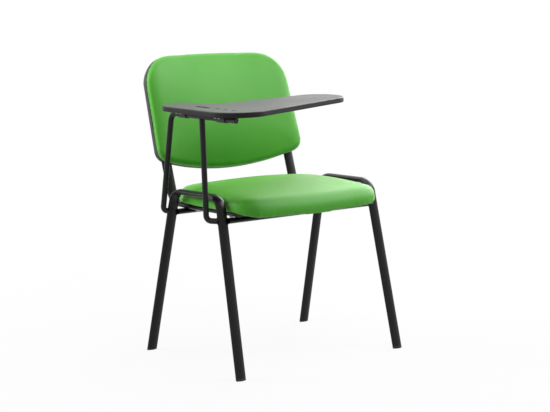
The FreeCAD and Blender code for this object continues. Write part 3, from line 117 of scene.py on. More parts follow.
class FinishSettings(bpy.types.PropertyGroup):
    """Colours and surface sizes of the finishes."""

    leather_colour: FloatVectorProperty(
        name="Leather", description="Imitation leather of the cushions", subtype="COLOR", size=3, min=0,
        max=1, default=(0.074, 0.385, 0.022),
    )
    leather_shade: FloatVectorProperty(
        name="Leather shade", description="Deeper green in the grain and in worn patches", subtype="COLOR",
        size=3, min=0, max=1, default=(0.042, 0.29, 0.012),
    )
    leather_cell: FloatProperty(
        name="Leather grain", description="Width of one cell of the leather grain", default=0.0011,
        unit="LENGTH",
    )
    powder_colour: FloatVectorProperty(
        name="Powder coat", description="Black powder coat of the tubes", subtype="COLOR", size=3, min=0,
        max=1, default=(0.007, 0.0067, 0.0069),
    )
    powder_cell: FloatProperty(
        name="Powder texture", description="Width of one ripple of the powder coat", default=0.0012,
        unit="LENGTH",
    )
    tablet_colour: FloatVectorProperty(
        name="Tablet top", description="Writing face of the tablet", subtype="COLOR", size=3, min=0, max=1,
        default=(0.078, 0.077, 0.076),
    )
    # Painted shade: the colour of the tablet's edge and underside, far darker than its top
    tablet_edge_painted_shade: FloatVectorProperty(
        name="Tablet edge", description="Edge and underside of the tablet", subtype="COLOR", size=3, min=0,
        max=1, default=(0.006, 0.0055, 0.0058),
    )
    shell_colour: FloatVectorProperty(
        name="Shell", description="Moulded back shell and seat cover", subtype="COLOR", size=3, min=0,
        max=1, default=(0.026, 0.025, 0.027),
    )
    moulded_cell: FloatProperty(
        name="Moulded grain", description="Width of one cell of the moulded grain", default=0.0008,
        unit="LENGTH",
    )


class CushionSettings(bpy.types.PropertyGroup):
    """How the foam cushions are blown up under their covers."""

    voxel: FloatProperty(name="Cell", description="Cell of the cover's mesh", default=0.005, unit="LENGTH")
    pressure: FloatProperty(
        name="Foam pressure", description="Push of the foam against the cover", default=0.8,
    )
    seat_travel: FloatProperty(
        name="Seat travel", description="Farthest that the seat's cover may move", default=0.012,
        unit="LENGTH",
    )
    back_travel: FloatProperty(
        name="Back travel", description="Farthest that the backrest's cover may move", default=0.012,
        unit="LENGTH",
    )
    undersize: FloatProperty(
        name="Undersize", description="How much smaller the cushions start than their final size",
        default=0.003, unit="LENGTH",
    )
    hold: FloatProperty(
        name="Hold",
        description="Share of the way that the moulded foam draws its cover back to its own form",
        default=0.78, min=0, max=1,
    )
    frames: IntProperty(name="Steps", description="Steps of the simulation", default=20, min=1)
    pucker: FloatProperty(
        name="Pucker", description="Depth of the small folds round the lower corners", default=0.0009,
        unit="LENGTH",
    )


class TrimSettings(bpy.types.PropertyGroup):
    """Sizes of the welds and of the tablet's small ribs."""

    bead_radius: FloatProperty(
        name="Weld bead", description="Half width of a weld bead", default=0.0015, unit="LENGTH",
    )
    bead_ripple: FloatProperty(
        name="Weld ripple", description="Length of one ripple of a weld", default=0.0022, unit="LENGTH",
    )
    rib_count: IntProperty(name="Ribs", description="Low ribs in front of the pen groove", default=3, min=0)
    rib_start: FloatProperty(
        name="First rib", description="First rib in front of the tablet's rear edge", default=0.209,
        unit="LENGTH",
    )
    rib_pitch: FloatProperty(name="Rib pitch", description="From rib to rib", default=0.034, unit="LENGTH")
    rib_inset: FloatProperty(
        name="Rib inset", description="Ribs inside the bar's centre line", default=0.012, unit="LENGTH",
    )
    rib_length: FloatProperty(
        name="Rib length", description="Rib, front to rear", default=0.019, unit="LENGTH",
    )
    rib_width: FloatProperty(name="Rib width", description="Rib, across", default=0.005, unit="LENGTH")
    rib_height: FloatProperty(
        name="Rib height", description="Rib, half of it above the tablet", default=0.0026, unit="LENGTH",
    )


class StudioSettings(bpy.types.PropertyGroup):
    """Camera and lamps."""

    camera_place: FloatVectorProperty(
        name="Camera", description="Camera's place", subtype="TRANSLATION", unit="LENGTH", size=3,
        default=(-2.4517, -3.1782, 1.022),
    )
    camera_turn: FloatProperty(
        name="Turn", description="Camera's turn from looking along +Y", subtype="ANGLE",
        default=math.radians(-38.3),
    )
    camera_dip: FloatProperty(
        name="Dip", description="Camera's tilt below the horizon", subtype="ANGLE",
        default=math.radians(8.85),
    )
    camera_lens: FloatProperty(
        name="Lens", description="Focal length in millimetres on a 36 mm sensor", default=96.74,
    )
    floor_colour: FloatVectorProperty(
        name="Floor", description="Floor and backdrop", subtype="COLOR", size=3, min=0, max=1,
        default=(0.55, 0.55, 0.55),
    )
    key_power: FloatProperty(
        name="Key lamp", description="Large lamp high at the front right, in watts", default=57.0,
    )
    left_power: FloatProperty(name="Left lamp", description="Lamp on the left, in watts", default=70.0)
    right_power: FloatProperty(name="Right lamp", description="Lamp on the right, in watts", default=85.0)
    top_power: FloatProperty(name="Top lamp", description="Lamp over the chair, in watts", default=40.0)
    back_power: FloatProperty(
        name="Back lamp", description="Wide lamp low behind the chair, in watts", default=4.0,
    )
    room_strength: FloatProperty(name="Room", description="Even light of the room", default=0.12)


# Shader building blocks

def socket_group(name, inputs, outputs):
    """An empty shader node group with named sockets, and its input and output nodes."""
    tree = bpy.data.node_groups.new(name, "ShaderNodeTree")
    for label, kind, value in inputs:
        socket = tree.interface.new_socket(label, in_out="INPUT", socket_type=kind)
        if value is not None:
            socket.default_value = value
    for label, kind in outputs:
        tree.interface.new_socket(label, in_out="OUTPUT", socket_type=kind)
    return tree, tree.nodes.new("NodeGroupInput"), tree.nodes.new("NodeGroupOutput")


def calculation(tree, operation, first, second=None, third=None):
    """A Math node; each operand is a socket or a number."""
    node = tree.nodes.new("ShaderNodeMath")
    node.operation = operation
    for index, operand in enumerate((first, second, third)):
        if operand is None:
            continue
        if isinstance(operand, (int, float)):
            node.inputs[index].default_value = operand
        else:
            tree.links.new(operand, node.inputs[index])
    return node.outputs["Value"]


def map_range(tree, value, low, high, to_low, to_high):
    """A value brought from one range to another."""
    node = tree.nodes.new("ShaderNodeMapRange")
    tree.links.new(value, node.inputs["Value"])
    for label, number in (("From Min", low), ("From Max", high), ("To Min", to_low), ("To Max", to_high)):
        node.inputs[label].default_value = number
    return node.outputs["Result"]


def blend_colours(tree, factor, first, second):
    """Two colours mixed by a socket; each is a socket or three numbers."""
    node = tree.nodes.new("ShaderNodeMix")
    node.data_type = "RGBA"
    tree.links.new(factor, node.inputs["Factor"])
    for label, colour in (("A", first), ("B", second)):
        socket = next(s for s in node.inputs if s.name == label and s.type == "RGBA")
        if isinstance(colour, bpy.types.NodeSocket):
            tree.links.new(colour, socket)
        else:
            socket.default_value = (*colour, 1)
    return next(s for s in node.outputs if s.type == "RGBA")


def cell_scale(tree, cell):
    """Texture scale for a cell of a given width."""
    return calculation(tree, "DIVIDE", 1.0, cell)


def make_leather_grain():
    """Pebbled cells with fine creases between them, and slow patches of stretched cover."""
    tree, given, result = socket_group(
        "leather_grain",
        [("Vector", "NodeSocketVector", None), ("Cell", "NodeSocketFloat", 0.001),
         ("Patch", "NodeSocketFloat", 0.1)],
        [("Height", "NodeSocketFloat"), ("Crease", "NodeSocketFloat"), ("Patches", "NodeSocketFloat")],
    )
    cells = tree.nodes.new("ShaderNodeTexVoronoi")
    cells.feature = "DISTANCE_TO_EDGE"
    warp = tree.nodes.new("ShaderNodeTexNoise")
    tree.links.new(given.outputs["Vector"], warp.inputs["Vector"])
    warp_scale = calculation(tree, "MULTIPLY", cell_scale(tree, given.outputs["Cell"]), 0.6)
    tree.links.new(warp_scale, warp.inputs["Scale"])
    warp.inputs["Detail"].default_value = 2
    shift = tree.nodes.new("ShaderNodeVectorMath")
    shift.operation = "MULTIPLY_ADD"
    tree.links.new(warp.outputs["Color"], shift.inputs[0])
    reach = tree.nodes.new("ShaderNodeCombineXYZ")
    for axis in range(3):
        tree.links.new(given.outputs["Cell"], reach.inputs[axis])
    tree.links.new(reach.outputs["Vector"], shift.inputs[1])
    tree.links.new(given.outputs["Vector"], shift.inputs[2])
    tree.links.new(shift.outputs["Vector"], cells.inputs["Vector"])
    tree.links.new(cell_scale(tree, given.outputs["Cell"]), cells.inputs["Scale"])
    crease = map_range(tree, cells.outputs["Distance"], 0.0, 0.14, 1.0, 0.0)
    patches = tree.nodes.new("ShaderNodeTexNoise")
    tree.links.new(given.outputs["Vector"], patches.inputs["Vector"])
    tree.links.new(cell_scale(tree, given.outputs["Patch"]), patches.inputs["Scale"])
    patches.inputs["Detail"].default_value = 3
    height = calculation(tree, "MULTIPLY_ADD", crease, -0.7, warp.outputs["Fac"])
    tree.links.new(height, result.inputs["Height"])
    tree.links.new(crease, result.inputs["Crease"])
    tree.links.new(patches.outputs["Fac"], result.inputs["Patches"])
    return tree


def make_moulded_grain():
    """The even spark-eroded grain of a mould, or the ripple of a powder coat, with slow mottling."""
    tree, given, result = socket_group(
        "moulded_grain",
        [("Vector", "NodeSocketVector", None), ("Cell", "NodeSocketFloat", 0.001),
         ("Patch", "NodeSocketFloat", 0.05)],
        [("Height", "NodeSocketFloat"), ("Mottle", "NodeSocketFloat")],
    )
    for socket, cell, detail in (("Height", "Cell", 2), ("Mottle", "Patch", 4)):
        field = tree.nodes.new("ShaderNodeTexNoise")
        tree.links.new(given.outputs["Vector"], field.inputs["Vector"])
        tree.links.new(cell_scale(tree, given.outputs[cell]), field.inputs["Scale"])
        field.inputs["Detail"].default_value = detail
        tree.links.new(field.outputs["Fac"], result.inputs[socket])
    return tree


def make_handling_wear():
    """Faint rubbed patches and hair scratches of a used surface, as a mask."""
    tree, given, result = socket_group(
        "handling_wear",
        [("Vector", "NodeSocketVector", None), ("Patch", "NodeSocketFloat", 0.08),
         ("Scratch", "NodeSocketFloat", 0.012)],
        [("Mask", "NodeSocketFloat")],
    )
    rub = tree.nodes.new("ShaderNodeTexNoise")
    tree.links.new(given.outputs["Vector"], rub.inputs["Vector"])
    tree.links.new(cell_scale(tree, given.outputs["Patch"]), rub.inputs["Scale"])
    rub.inputs["Detail"].default_value = 5
    stretch = tree.nodes.new("ShaderNodeVectorMath")
    stretch.operation = "MULTIPLY"
    stretch.inputs[1].default_value = (1.0, 0.06, 1.0)
    tree.links.new(given.outputs["Vector"], stretch.inputs[0])
    hairs = tree.nodes.new("ShaderNodeTexNoise")
    tree.links.new(stretch.outputs["Vector"], hairs.inputs["Vector"])
    tree.links.new(cell_scale(tree, given.outputs["Scratch"]), hairs.inputs["Scale"])
    hairs.inputs["Detail"].default_value = 6
    hairs.inputs["Roughness"].default_value = 0.75
    rubbed = map_range(tree, rub.outputs["Fac"], 0.45, 0.75, 0.0, 1.0)
    scratched = map_range(tree, hairs.outputs["Fac"], 0.6, 0.72, 0.0, 1.0)
    tree.links.new(calculation(tree, "MAXIMUM", rubbed, scratched), result.inputs["Mask"])
    return tree


def place_group(tree, group, **values):
    """A group node fed with Object coordinates and with its own sizes."""
    node = tree.nodes.new("ShaderNodeGroup")
    node.node_tree = group
    coordinates = tree.nodes.new("ShaderNodeTexCoord")
    tree.links.new(coordinates.outputs["Object"], node.inputs["Vector"])
    for label, value in values.items():
        node.inputs[label].default_value = value
    return node


def new_finish(name):
    """A material with a Principled shader, and its tree."""
    material = bpy.data.materials.new(name)
    material.use_nodes = True
    tree = material.node_tree
    shader = next(node for node in tree.nodes if node.type == "BSDF_PRINCIPLED")
    return material, tree, shader


def raise_relief(tree, shader, height, distance, strength=1.0):
    """A Bump node between a height and the shader's normal."""
    bump = tree.nodes.new("ShaderNodeBump")
    bump.inputs["Strength"].default_value = strength
    bump.inputs["Distance"].default_value = distance
    tree.links.new(height, bump.inputs["Height"])
    tree.links.new(bump.outputs["Normal"], shader.inputs["Normal"])


def make_leather_finish(settings, groups):
    """Green imitation leather: pebbled, with a soft sheen and slightly deeper creases."""
    material, tree, shader = new_finish("green_leather")
    grain = place_group(tree, groups["leather"], Cell=settings.leather_cell, Patch=0.11)
    patch = map_range(tree, grain.outputs["Patches"], 0.35, 0.7, 0.0, 0.35)
    depth = calculation(tree, "MAXIMUM", calculation(tree, "MULTIPLY", grain.outputs["Crease"], 0.4), patch)
    colour = blend_colours(tree, depth, tuple(settings.leather_colour), tuple(settings.leather_shade))
    tree.links.new(colour, shader.inputs["Base Color"])
    roughness = map_range(tree, grain.outputs["Patches"], 0.3, 0.7, 0.44, 0.52)
    tree.links.new(roughness, shader.inputs["Roughness"])
    shader.inputs["Specular IOR Level"].default_value = 0.26
    shader.inputs["Coat Weight"].default_value = 0.12
    shader.inputs["Coat Roughness"].default_value = 0.4
    shader.inputs["Sheen Weight"].default_value = 0.24
    shader.inputs["Sheen Roughness"].default_value = 0.35
    shader.inputs["Sheen Tint"].default_value = (0.8, 1.0, 0.45, 1)
    raise_relief(tree, shader, grain.outputs["Height"], 0.00012)
    return material


def make_powder_finish(settings, groups):
    """Black powder coat on steel tube: fine ripple, satin, rubbed a little where chairs stack."""
    material, tree, shader = new_finish("black_powder_coat")
    grain = place_group(tree, groups["moulded"], Cell=settings.powder_cell, Patch=0.06)
    wear = place_group(tree, groups["wear"], Patch=0.09, Scratch=0.006)
    rubbed = calculation(tree, "MULTIPLY", wear.outputs["Mask"], 0.35)
    worn = tuple(channel * 2.2 for channel in settings.powder_colour)
    colour = blend_colours(tree, rubbed, tuple(settings.powder_colour), worn)
    tree.links.new(colour, shader.inputs["Base Color"])
    smooth = map_range(tree, grain.outputs["Mottle"], 0.3, 0.7, 0.30, 0.38)
    tree.links.new(calculation(tree, "MULTIPLY_ADD", rubbed, 0.25, smooth), shader.inputs["Roughness"])
    shader.inputs["Specular IOR Level"].default_value = 0.2
    raise_relief(tree, shader, grain.outputs["Height"], 0.00003)
    return material


def make_plastic_finish(name, colour, roughness, relief, settings, groups):
    """Moulded plastic with its fine grain and a few rubbed spots."""
    material, tree, shader = new_finish(name)
    grain = place_group(tree, groups["moulded"], Cell=settings.moulded_cell, Patch=0.04)
    wear = place_group(tree, groups["wear"], Patch=0.05, Scratch=0.004)
    pale = tuple(min(1.0, channel * 1.6 + 0.004) for channel in colour)
    factor = map_range(tree, grain.outputs["Mottle"], 0.3, 0.75, 0.0, 0.3)
    tree.links.new(blend_colours(tree, factor, tuple(colour), pale), shader.inputs["Base Color"])
    rubbed = calculation(tree, "MULTIPLY", wear.outputs["Mask"], -0.05)
    tree.links.new(calculation(tree, "ADD", rubbed, roughness), shader.inputs["Roughness"])
    shader.inputs["Specular IOR Level"].default_value = 0.35
    raise_relief(tree, shader, grain.outputs["Height"], relief)
    return material


def make_tablet_finish(settings, groups):
    """The tablet: a grey grained writing face, with its edge and underside darkened by painted shade."""
    material, tree, shader = new_finish("tablet_plastic")
    grain = place_group(tree, groups["moulded"], Cell=settings.moulded_cell * 1.4, Patch=0.09)
    wear = place_group(tree, groups["wear"], Patch=0.12, Scratch=0.008)
    coordinates = tree.nodes.new("ShaderNodeTexCoord")
    normal = tree.nodes.new("ShaderNodeSeparateXYZ")
    tree.links.new(coordinates.outputs["Normal"], normal.inputs["Vector"])
    # Painted shade: faces that turn away from up, the edge and underside, take the dark colour; the top keeps
    # its own grey
    face = map_range(tree, normal.outputs["Z"], 0.45, 0.92, 0.0, 1.0)
    colour = blend_colours(tree, face, tuple(settings.tablet_edge_painted_shade), tuple(settings.tablet_colour))
    mottle = map_range(tree, grain.outputs["Mottle"], 0.3, 0.7, 0.0, 0.25)
    paler = tuple(min(1.0, channel * 1.35) for channel in settings.tablet_colour)
    speckle = calculation(tree, "MULTIPLY", mottle, face)
    tree.links.new(blend_colours(tree, speckle, colour, paler), shader.inputs["Base Color"])
    roughness = calculation(tree, "MULTIPLY_ADD", wear.outputs["Mask"], -0.07, 0.46)
    tree.links.new(roughness, shader.inputs["Roughness"])
    shader.inputs["Specular IOR Level"].default_value = 0.2
    raise_relief(tree, shader, grain.outputs["Height"], 0.00006)
    return material


def make_wood_finish():
    """Raw plywood: long fibres and slow bands."""
    material, tree, shader = new_finish("raw_plywood")
    coordinates = tree.nodes.new("ShaderNodeTexCoord")
    mapping = tree.nodes.new("ShaderNodeMapping")
    mapping.inputs["Scale"].default_value = (220.0, 9.0, 220.0)
    tree.links.new(coordinates.outputs["Object"], mapping.inputs["Vector"])
    fibres = tree.nodes.new("ShaderNodeTexNoise")
    fibres.inputs["Scale"].default_value = 1.0
    fibres.inputs["Detail"].default_value = 6
    tree.links.new(mapping.outputs["Vector"], fibres.inputs["Vector"])
    factor = map_range(tree, fibres.outputs["Fac"], 0.3, 0.7, 0.0, 1.0)
    colour = blend_colours(tree, factor, (0.36, 0.23, 0.12), (0.55, 0.40, 0.24))
    tree.links.new(colour, shader.inputs["Base Color"])
    shader.inputs["Roughness"].default_value = 0.7
    raise_relief(tree, shader, fibres.outputs["Fac"], 0.0002)
    return material


def make_steel_finish(groups):
    """Zinc plated steel with a brushed haze."""
    material, tree, shader = new_finish("zinc_plated_steel")
    grain = place_group(tree, groups["moulded"], Cell=0.0006, Patch=0.01)
    colour = blend_colours(tree, grain.outputs["Mottle"], (0.26, 0.26, 0.27), (0.42, 0.42, 0.40))
    tree.links.new(colour, shader.inputs["Base Color"])
    shader.inputs["Metallic"].default_value = 1.0
    tree.links.new(map_range(tree, grain.outputs["Mottle"], 0.3, 0.7, 0.38, 0.52), shader.inputs["Roughness"])
    raise_relief(tree, shader, grain.outputs["Height"], 0.00002)
    return material


FINISHES = {}


def make_finishes(settings):
    """Build every finish once, by the name of its material slot."""
    groups = {"leather": make_leather_grain(), "moulded": make_moulded_grain(), "wear": make_handling_wear()}
    FINISHES["upholstery"] = make_leather_finish(settings, groups)
    FINISHES["frame"] = make_powder_finish(settings, groups)
    FINISHES["tablet"] = make_tablet_finish(settings, groups)
    plastics = {
        "shell": ("shell_plastic", settings.shell_colour, 0.5, 0.00004),
        "plug": ("plug_plastic", (0.012, 0.012, 0.013), 0.45, 0.00004),
        "clip": ("clip_plastic", (0.016, 0.014, 0.015), 0.5, 0.00004),
        "buffer": ("buffer_rubber", (0.02, 0.02, 0.02), 0.8, 0.00008),
    }
    for slot, values in plastics.items():
        FINISHES[slot] = make_plastic_finish(*values, settings, groups)
    FINISHES["plywood"] = make_wood_finish()
    FINISHES["fastener"] = make_steel_finish(groups)


# Meshes

def new_object(name, mesh):
    """An object of the scene at the origin."""
    item = bpy.data.objects.new(name, mesh)
    bpy.context.collection.objects.link(item)
    return item


def merged_copy(name, nodes):
    """Copies of CAD solids in one mesh, their loose triangles joined."""
    work = bmesh.new()
    for node in nodes:
        work.from_mesh(NODES[node].data)
    bmesh.ops.remove_doubles(work, verts=work.verts, dist=1e-5)
    mesh = bpy.data.meshes.new(name)
    work.to_mesh(mesh)
    work.free()
    return new_object(name, mesh)


def places(mesh):
    """The vertices of a mesh as an array."""
    flat = np.empty(len(mesh.vertices) * 3)
    mesh.vertices.foreach_get("co", flat)
    return flat.reshape(-1, 3)


def put_places(mesh, points):
    """Move the vertices of a mesh."""
    mesh.vertices.foreach_set("co", np.ascontiguousarray(points).ravel())
    mesh.update()


def normals(mesh):
    """The vertex normals of a mesh as an array."""
    flat = np.empty(len(mesh.vertices) * 3)
    mesh.vertex_normals.foreach_get("vector", flat)
    return flat.reshape(-1, 3)


def settle(item):
    """Turn an object's modifiers into its mesh."""
    bpy.context.view_layer.update()
    graph = bpy.context.evaluated_depsgraph_get()
    shape = item.evaluated_get(graph)
    mesh = bpy.data.meshes.new_from_object(shape, preserve_all_data_layers=True, depsgraph=graph)
    item.modifiers.clear()
    old = item.data
    item.data = mesh
    bpy.data.meshes.remove(old)
    return item


def shade_smooth(item):
    """Smooth shading all over."""
    item.data.polygons.foreach_set("use_smooth", [True] * len(item.data.polygons))
    item.data.update()


class PanelSpace:
    """Coordinates of a cushion: across, along and out of its board, with the board's bow taken out."""

    def __init__(self, points, along, out, bow=0.0):
        """Centred across the cushion's points, with their reach noted in its own coordinates."""
        self.axes = np.array([(1.0, 0.0, 0.0), along, out])
        self.bow = bow
        self.origin = np.zeros(3)
        flat = self.flatten(points)
        self.origin[0] = (flat[:, 0].min() + flat[:, 0].max()) / 2
        flat = self.flatten(points)
        self.low = flat.min(0)
        self.high = flat.max(0)
        self.base = self.low[2]

    def flatten(self, points):
        """From the scene to the panel."""
        flat = (points - self.origin) @ self.axes.T
        if self.bow:
            flat[:, 2] -= flat[:, 0] ** 2 / (2 * self.bow)
        return flat

    def restore(self, flat):
        """From the panel back to the scene."""
        bent = flat.copy()
        if self.bow:
            bent[:, 2] += bent[:, 0] ** 2 / (2 * self.bow)
        return bent @ self.axes + self.origin


def shrink(flat, space, amount):
    """Draw a cushion in on all sides but its base, by an amount."""
    middle = (space.low + space.high) / 2
    half = (space.high - space.low) / 2
    share = 1 - amount / half
    drawn = middle + (flat - middle) * share
    rise = space.high[2] - space.base
    drawn[:, 2] = space.base + (flat[:, 2] - space.base) * (1 - 2 * amount / rise)
    return drawn


def blow_up(item, held, travel, settings):
    """Cloth with foam pressure; the held vertices stay, and no vertex moves farther than the travel."""
    start = places(item.data)
    group = item.vertex_groups.new(name="held")
    levels = np.round(held, 1)
    for weight in np.unique(levels[levels > 0]):
        members = np.nonzero(levels == weight)[0]
        group.add([int(index) for index in members], float(weight), "REPLACE")
    cloth = item.modifiers.new("cover", "CLOTH")
    sheet = cloth.settings
    for label, value in COVER.items():
        setattr(sheet, label, value)
    sheet.uniform_pressure_force = settings.pressure
    sheet.vertex_group_mass = "held"
    sheet.effector_weights.gravity = 0
    cloth.point_cache.frame_start = 1
    cloth.point_cache.frame_end = settings.frames
    scene = bpy.context.scene
    for step in range(1, settings.frames + 1):
        scene.frame_set(step)
    graph = bpy.context.evaluated_depsgraph_get()
    blown = item.evaluated_get(graph).to_mesh()
    moved = places(blown) - start
    item.evaluated_get(graph).to_mesh_clear()
    item.modifiers.remove(cloth)
    length = np.linalg.norm(moved, axis=1)
    share = np.minimum(1.0, travel / np.maximum(length, 1e-9))
    put_places(item.data, start + moved * share[:, None])
    scene.frame_set(1)


def search_tree(mesh):
    """A tree for finding the nearest face of a mesh."""
    return BVHTree.FromPolygons([v.co for v in mesh.vertices], [tuple(p.vertices) for p in mesh.polygons])


def draw_back(item, form, share):
    """Bring a blown cushion a share of the way back to the surface of the foam's own form."""
    points = places(item.data)
    nearest = np.array([form.find_nearest(Vector(point))[0] for point in points])
    put_places(item.data, points + (nearest - points) * share)


def smooth_surface(item, rounds):
    """Even out the steps that a voxel mesh has."""
    relax = item.modifiers.new("even", "SMOOTH")
    relax.iterations = rounds
    relax.factor = EVENING
    settle(item)


def fit_to(item, space):
    """Stretch a blown cushion a little, so that it fills exactly the space of its CAD solid."""
    flat = space.flatten(places(item.data))
    low = flat.min(0)
    high = flat.max(0)
    share = (space.high - space.low) / (high - low)
    put_places(item.data, space.restore(space.low + (flat - low) * share))


def pucker_corners(item, space, depth, band):
    """Small folds in the lower part of the corners, where the cover is pulled round the board."""
    flat = space.flatten(places(item.data))
    middle = (space.low + space.high) / 2
    half = (space.high - space.low) / 2
    way = (flat - middle) / half
    turn = np.arctan2(way[:, 1], way[:, 0])
    corner = np.clip(np.abs(np.sin(2 * turn)) * 1.6 - 0.9, 0, 1)
    edge = np.clip((np.hypot(way[:, 0], way[:, 1]) - 0.95) / 0.2, 0, 1)
    height = flat[:, 2] - space.base
    low_band = np.clip(1 - height / band, 0, 1) * np.clip(height / FOLD_FOOT, 0, 1)
    fold = np.sin(turn * FINE_FOLDS) + 0.5 * np.sin(turn * COARSE_FOLDS + 1.3)
    shift = depth * corner * edge * low_band * fold
    put_places(item.data, places(item.data) + normals(item.data) * shift[:, None])


def make_cushion(name, node, board, space, travel, settings):
    """A foam cushion with its cover, blown up from a slightly smaller form of its CAD solid."""
    cushion = merged_copy(name, [node, board])
    form = search_tree(cushion.data)
    drawn = shrink(space.flatten(places(cushion.data)), space, settings.undersize)
    put_places(cushion.data, space.restore(drawn))
    cells = cushion.modifiers.new("cells", "REMESH")
    cells.mode = "VOXEL"
    cells.voxel_size = settings.voxel
    settle(cushion)
    smooth_surface(cushion, FIRST_ROUNDS)
    flat = space.flatten(places(cushion.data))
    facing = normals(cushion.data) @ space.axes[2]
    level = flat[:, 2] - flat[:, 2].min()
    held = np.clip(GRIP_SHARE - level / GRIP_HEIGHT, 0, 1)
    held[facing < FACING_BOARD] = 1.0
    blow_up(cushion, held, travel, settings)
    smooth_surface(cushion, LAST_ROUNDS)
    fit_to(cushion, space)
    draw_back(cushion, form, settings.hold)
    finer = cushion.modifiers.new("finer", "SUBSURF")
    finer.levels = 1
    finer.render_levels = 1
    settle(cushion)
    return cushion


def dress_cushion(cushion, node):
    """Smooth shading, finish and body of a cushion, with its CAD solid hidden."""
    shade_smooth(cushion)
    cushion.data.materials.clear()
    cushion.data.materials.append(FINISHES["upholstery"])
    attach(cushion, CHAIR)
    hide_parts(node)


# Geometry node building blocks

def geometry_tree(name, inputs):
    """An empty geometry node tree with a geometry input and output and its own named inputs."""
    tree = bpy.data.node_groups.new(name, "GeometryNodeTree")
    tree.interface.new_socket("Geometry", in_out="INPUT", socket_type="NodeSocketGeometry")
    for label, kind in inputs:
        tree.interface.new_socket(label, in_out="INPUT", socket_type=kind)
    tree.interface.new_socket("Geometry", in_out="OUTPUT", socket_type="NodeSocketGeometry")
    return tree, tree.nodes.new("NodeGroupInput"), tree.nodes.new("NodeGroupOutput")


def end_tree(tree, geometry, given, result):
    """Realize Instances and Set Material at the end of a tree."""
    real = tree.nodes.new("GeometryNodeRealizeInstances")
    finish = tree.nodes.new("GeometryNodeSetMaterial")
    tree.links.new(geometry, real.inputs["Geometry"])
    tree.links.new(real.outputs["Geometry"], finish.inputs["Geometry"])
    tree.links.new(given.outputs["Finish"], finish.inputs["Material"])
    tree.links.new(finish.outputs["Geometry"], result.inputs["Geometry"])


def grow(name, source, tree, values):
    """Run a geometry node tree on a source mesh and keep the result as a plain mesh."""
    item = new_object(name, source)
    modifier = item.modifiers.new("grow", "NODES")
    modifier.node_group = tree
    for socket in tree.interface.items_tree:
        if socket.in_out == "INPUT" and socket.name in values:
            modifier[socket.identifier] = values[socket.name]
    bpy.context.view_layer.update()
    graph = bpy.context.evaluated_depsgraph_get()
    mesh = bpy.data.meshes.new_from_object(item.evaluated_get(graph), depsgraph=graph)
    item.modifiers.clear()
    item.data = mesh
    return item


def make_bead_tree():
    """A weld bead along each run of edges: a round section that swells and sinks in ripples."""
    tree, given, result = geometry_tree(
        "weld_bead",
        [("Radius", "NodeSocketFloat"), ("Ripple", "NodeSocketFloat"), ("Seed", "NodeSocketInt"),
         ("Finish", "NodeSocketMaterial")],
    )
    links = tree.links
    path = tree.nodes.new("GeometryNodeMeshToCurve")
    links.new(given.outputs["Geometry"], path.inputs["Mesh"])
    even = tree.nodes.new("GeometryNodeResampleCurve")
    even.mode = "LENGTH"
    links.new(path.outputs["Curve"], even.inputs["Curve"])
    links.new(calculation(tree, "DIVIDE", given.outputs["Ripple"], 3.0), even.inputs["Length"])
    along = tree.nodes.new("GeometryNodeSplineParameter")
    waves = calculation(tree, "DIVIDE", along.outputs["Length"], given.outputs["Ripple"])
    swell = calculation(tree, "SINE", calculation(tree, "MULTIPLY", waves, math.tau))
    chance = tree.nodes.new("FunctionNodeRandomValue")
    chance.data_type = "FLOAT"
    numbers = [socket for socket in chance.inputs if socket.type == "VALUE"]
    numbers[0].default_value = 0.85
    numbers[1].default_value = 1.1
    links.new(given.outputs["Seed"], chance.inputs["Seed"])
    drawn = next(socket for socket in chance.outputs if socket.type == "VALUE")
    size = calculation(tree, "MULTIPLY_ADD", swell, 0.1, drawn)
    section = tree.nodes.new("GeometryNodeCurvePrimitiveCircle")
    section.inputs["Resolution"].default_value = 8
    links.new(given.outputs["Radius"], section.inputs["Radius"])
    body = tree.nodes.new("GeometryNodeCurveToMesh")
    body.inputs["Fill Caps"].default_value = True
    links.new(even.outputs["Curve"], body.inputs["Curve"])
    links.new(section.outputs["Curve"], body.inputs["Profile Curve"])
    links.new(size, body.inputs["Scale"])
    soft = tree.nodes.new("GeometryNodeSetShadeSmooth")
    links.new(body.outputs["Mesh"], soft.inputs["Geometry"])
    end_tree(tree, soft.outputs["Geometry"], given, result)
    return tree


def make_rib_tree():
    """A row of low rounded ribs along the edge that it is given."""
    tree, given, result = geometry_tree(
        "tablet_ribs",
        [("Count", "NodeSocketInt"), ("Length", "NodeSocketFloat"), ("Width", "NodeSocketFloat"),
         ("Height", "NodeSocketFloat"), ("Finish", "NodeSocketMaterial")],
    )
    links = tree.links
    path = tree.nodes.new("GeometryNodeMeshToCurve")
    links.new(given.outputs["Geometry"], path.inputs["Mesh"])
    row = tree.nodes.new("GeometryNodeCurveToPoints")
    row.mode = "COUNT"
    links.new(path.outputs["Curve"], row.inputs["Curve"])
    links.new(given.outputs["Count"], row.inputs["Count"])
    ball = tree.nodes.new("GeometryNodeMeshUVSphere")
    ball.inputs["Segments"].default_value = 20
    ball.inputs["Rings"].default_value = 12
    ball.inputs["Radius"].default_value = 0.5
    size = tree.nodes.new("ShaderNodeCombineXYZ")
    links.new(given.outputs["Width"], size.inputs["X"])
    links.new(given.outputs["Length"], size.inputs["Y"])
    links.new(given.outputs["Height"], size.inputs["Z"])
    stretched = tree.nodes.new("GeometryNodeTransform")
    links.new(ball.outputs["Mesh"], stretched.inputs["Geometry"])
    links.new(size.outputs["Vector"], stretched.inputs["Scale"])
    copies = tree.nodes.new("GeometryNodeInstanceOnPoints")
    links.new(row.outputs["Points"], copies.inputs["Points"])
    links.new(stretched.outputs["Geometry"], copies.inputs["Instance"])
    soft = tree.nodes.new("GeometryNodeSetShadeSmooth")
    links.new(copies.outputs["Instances"], soft.inputs["Geometry"])
    end_tree(tree, soft.outputs["Geometry"], given, result)
    return tree


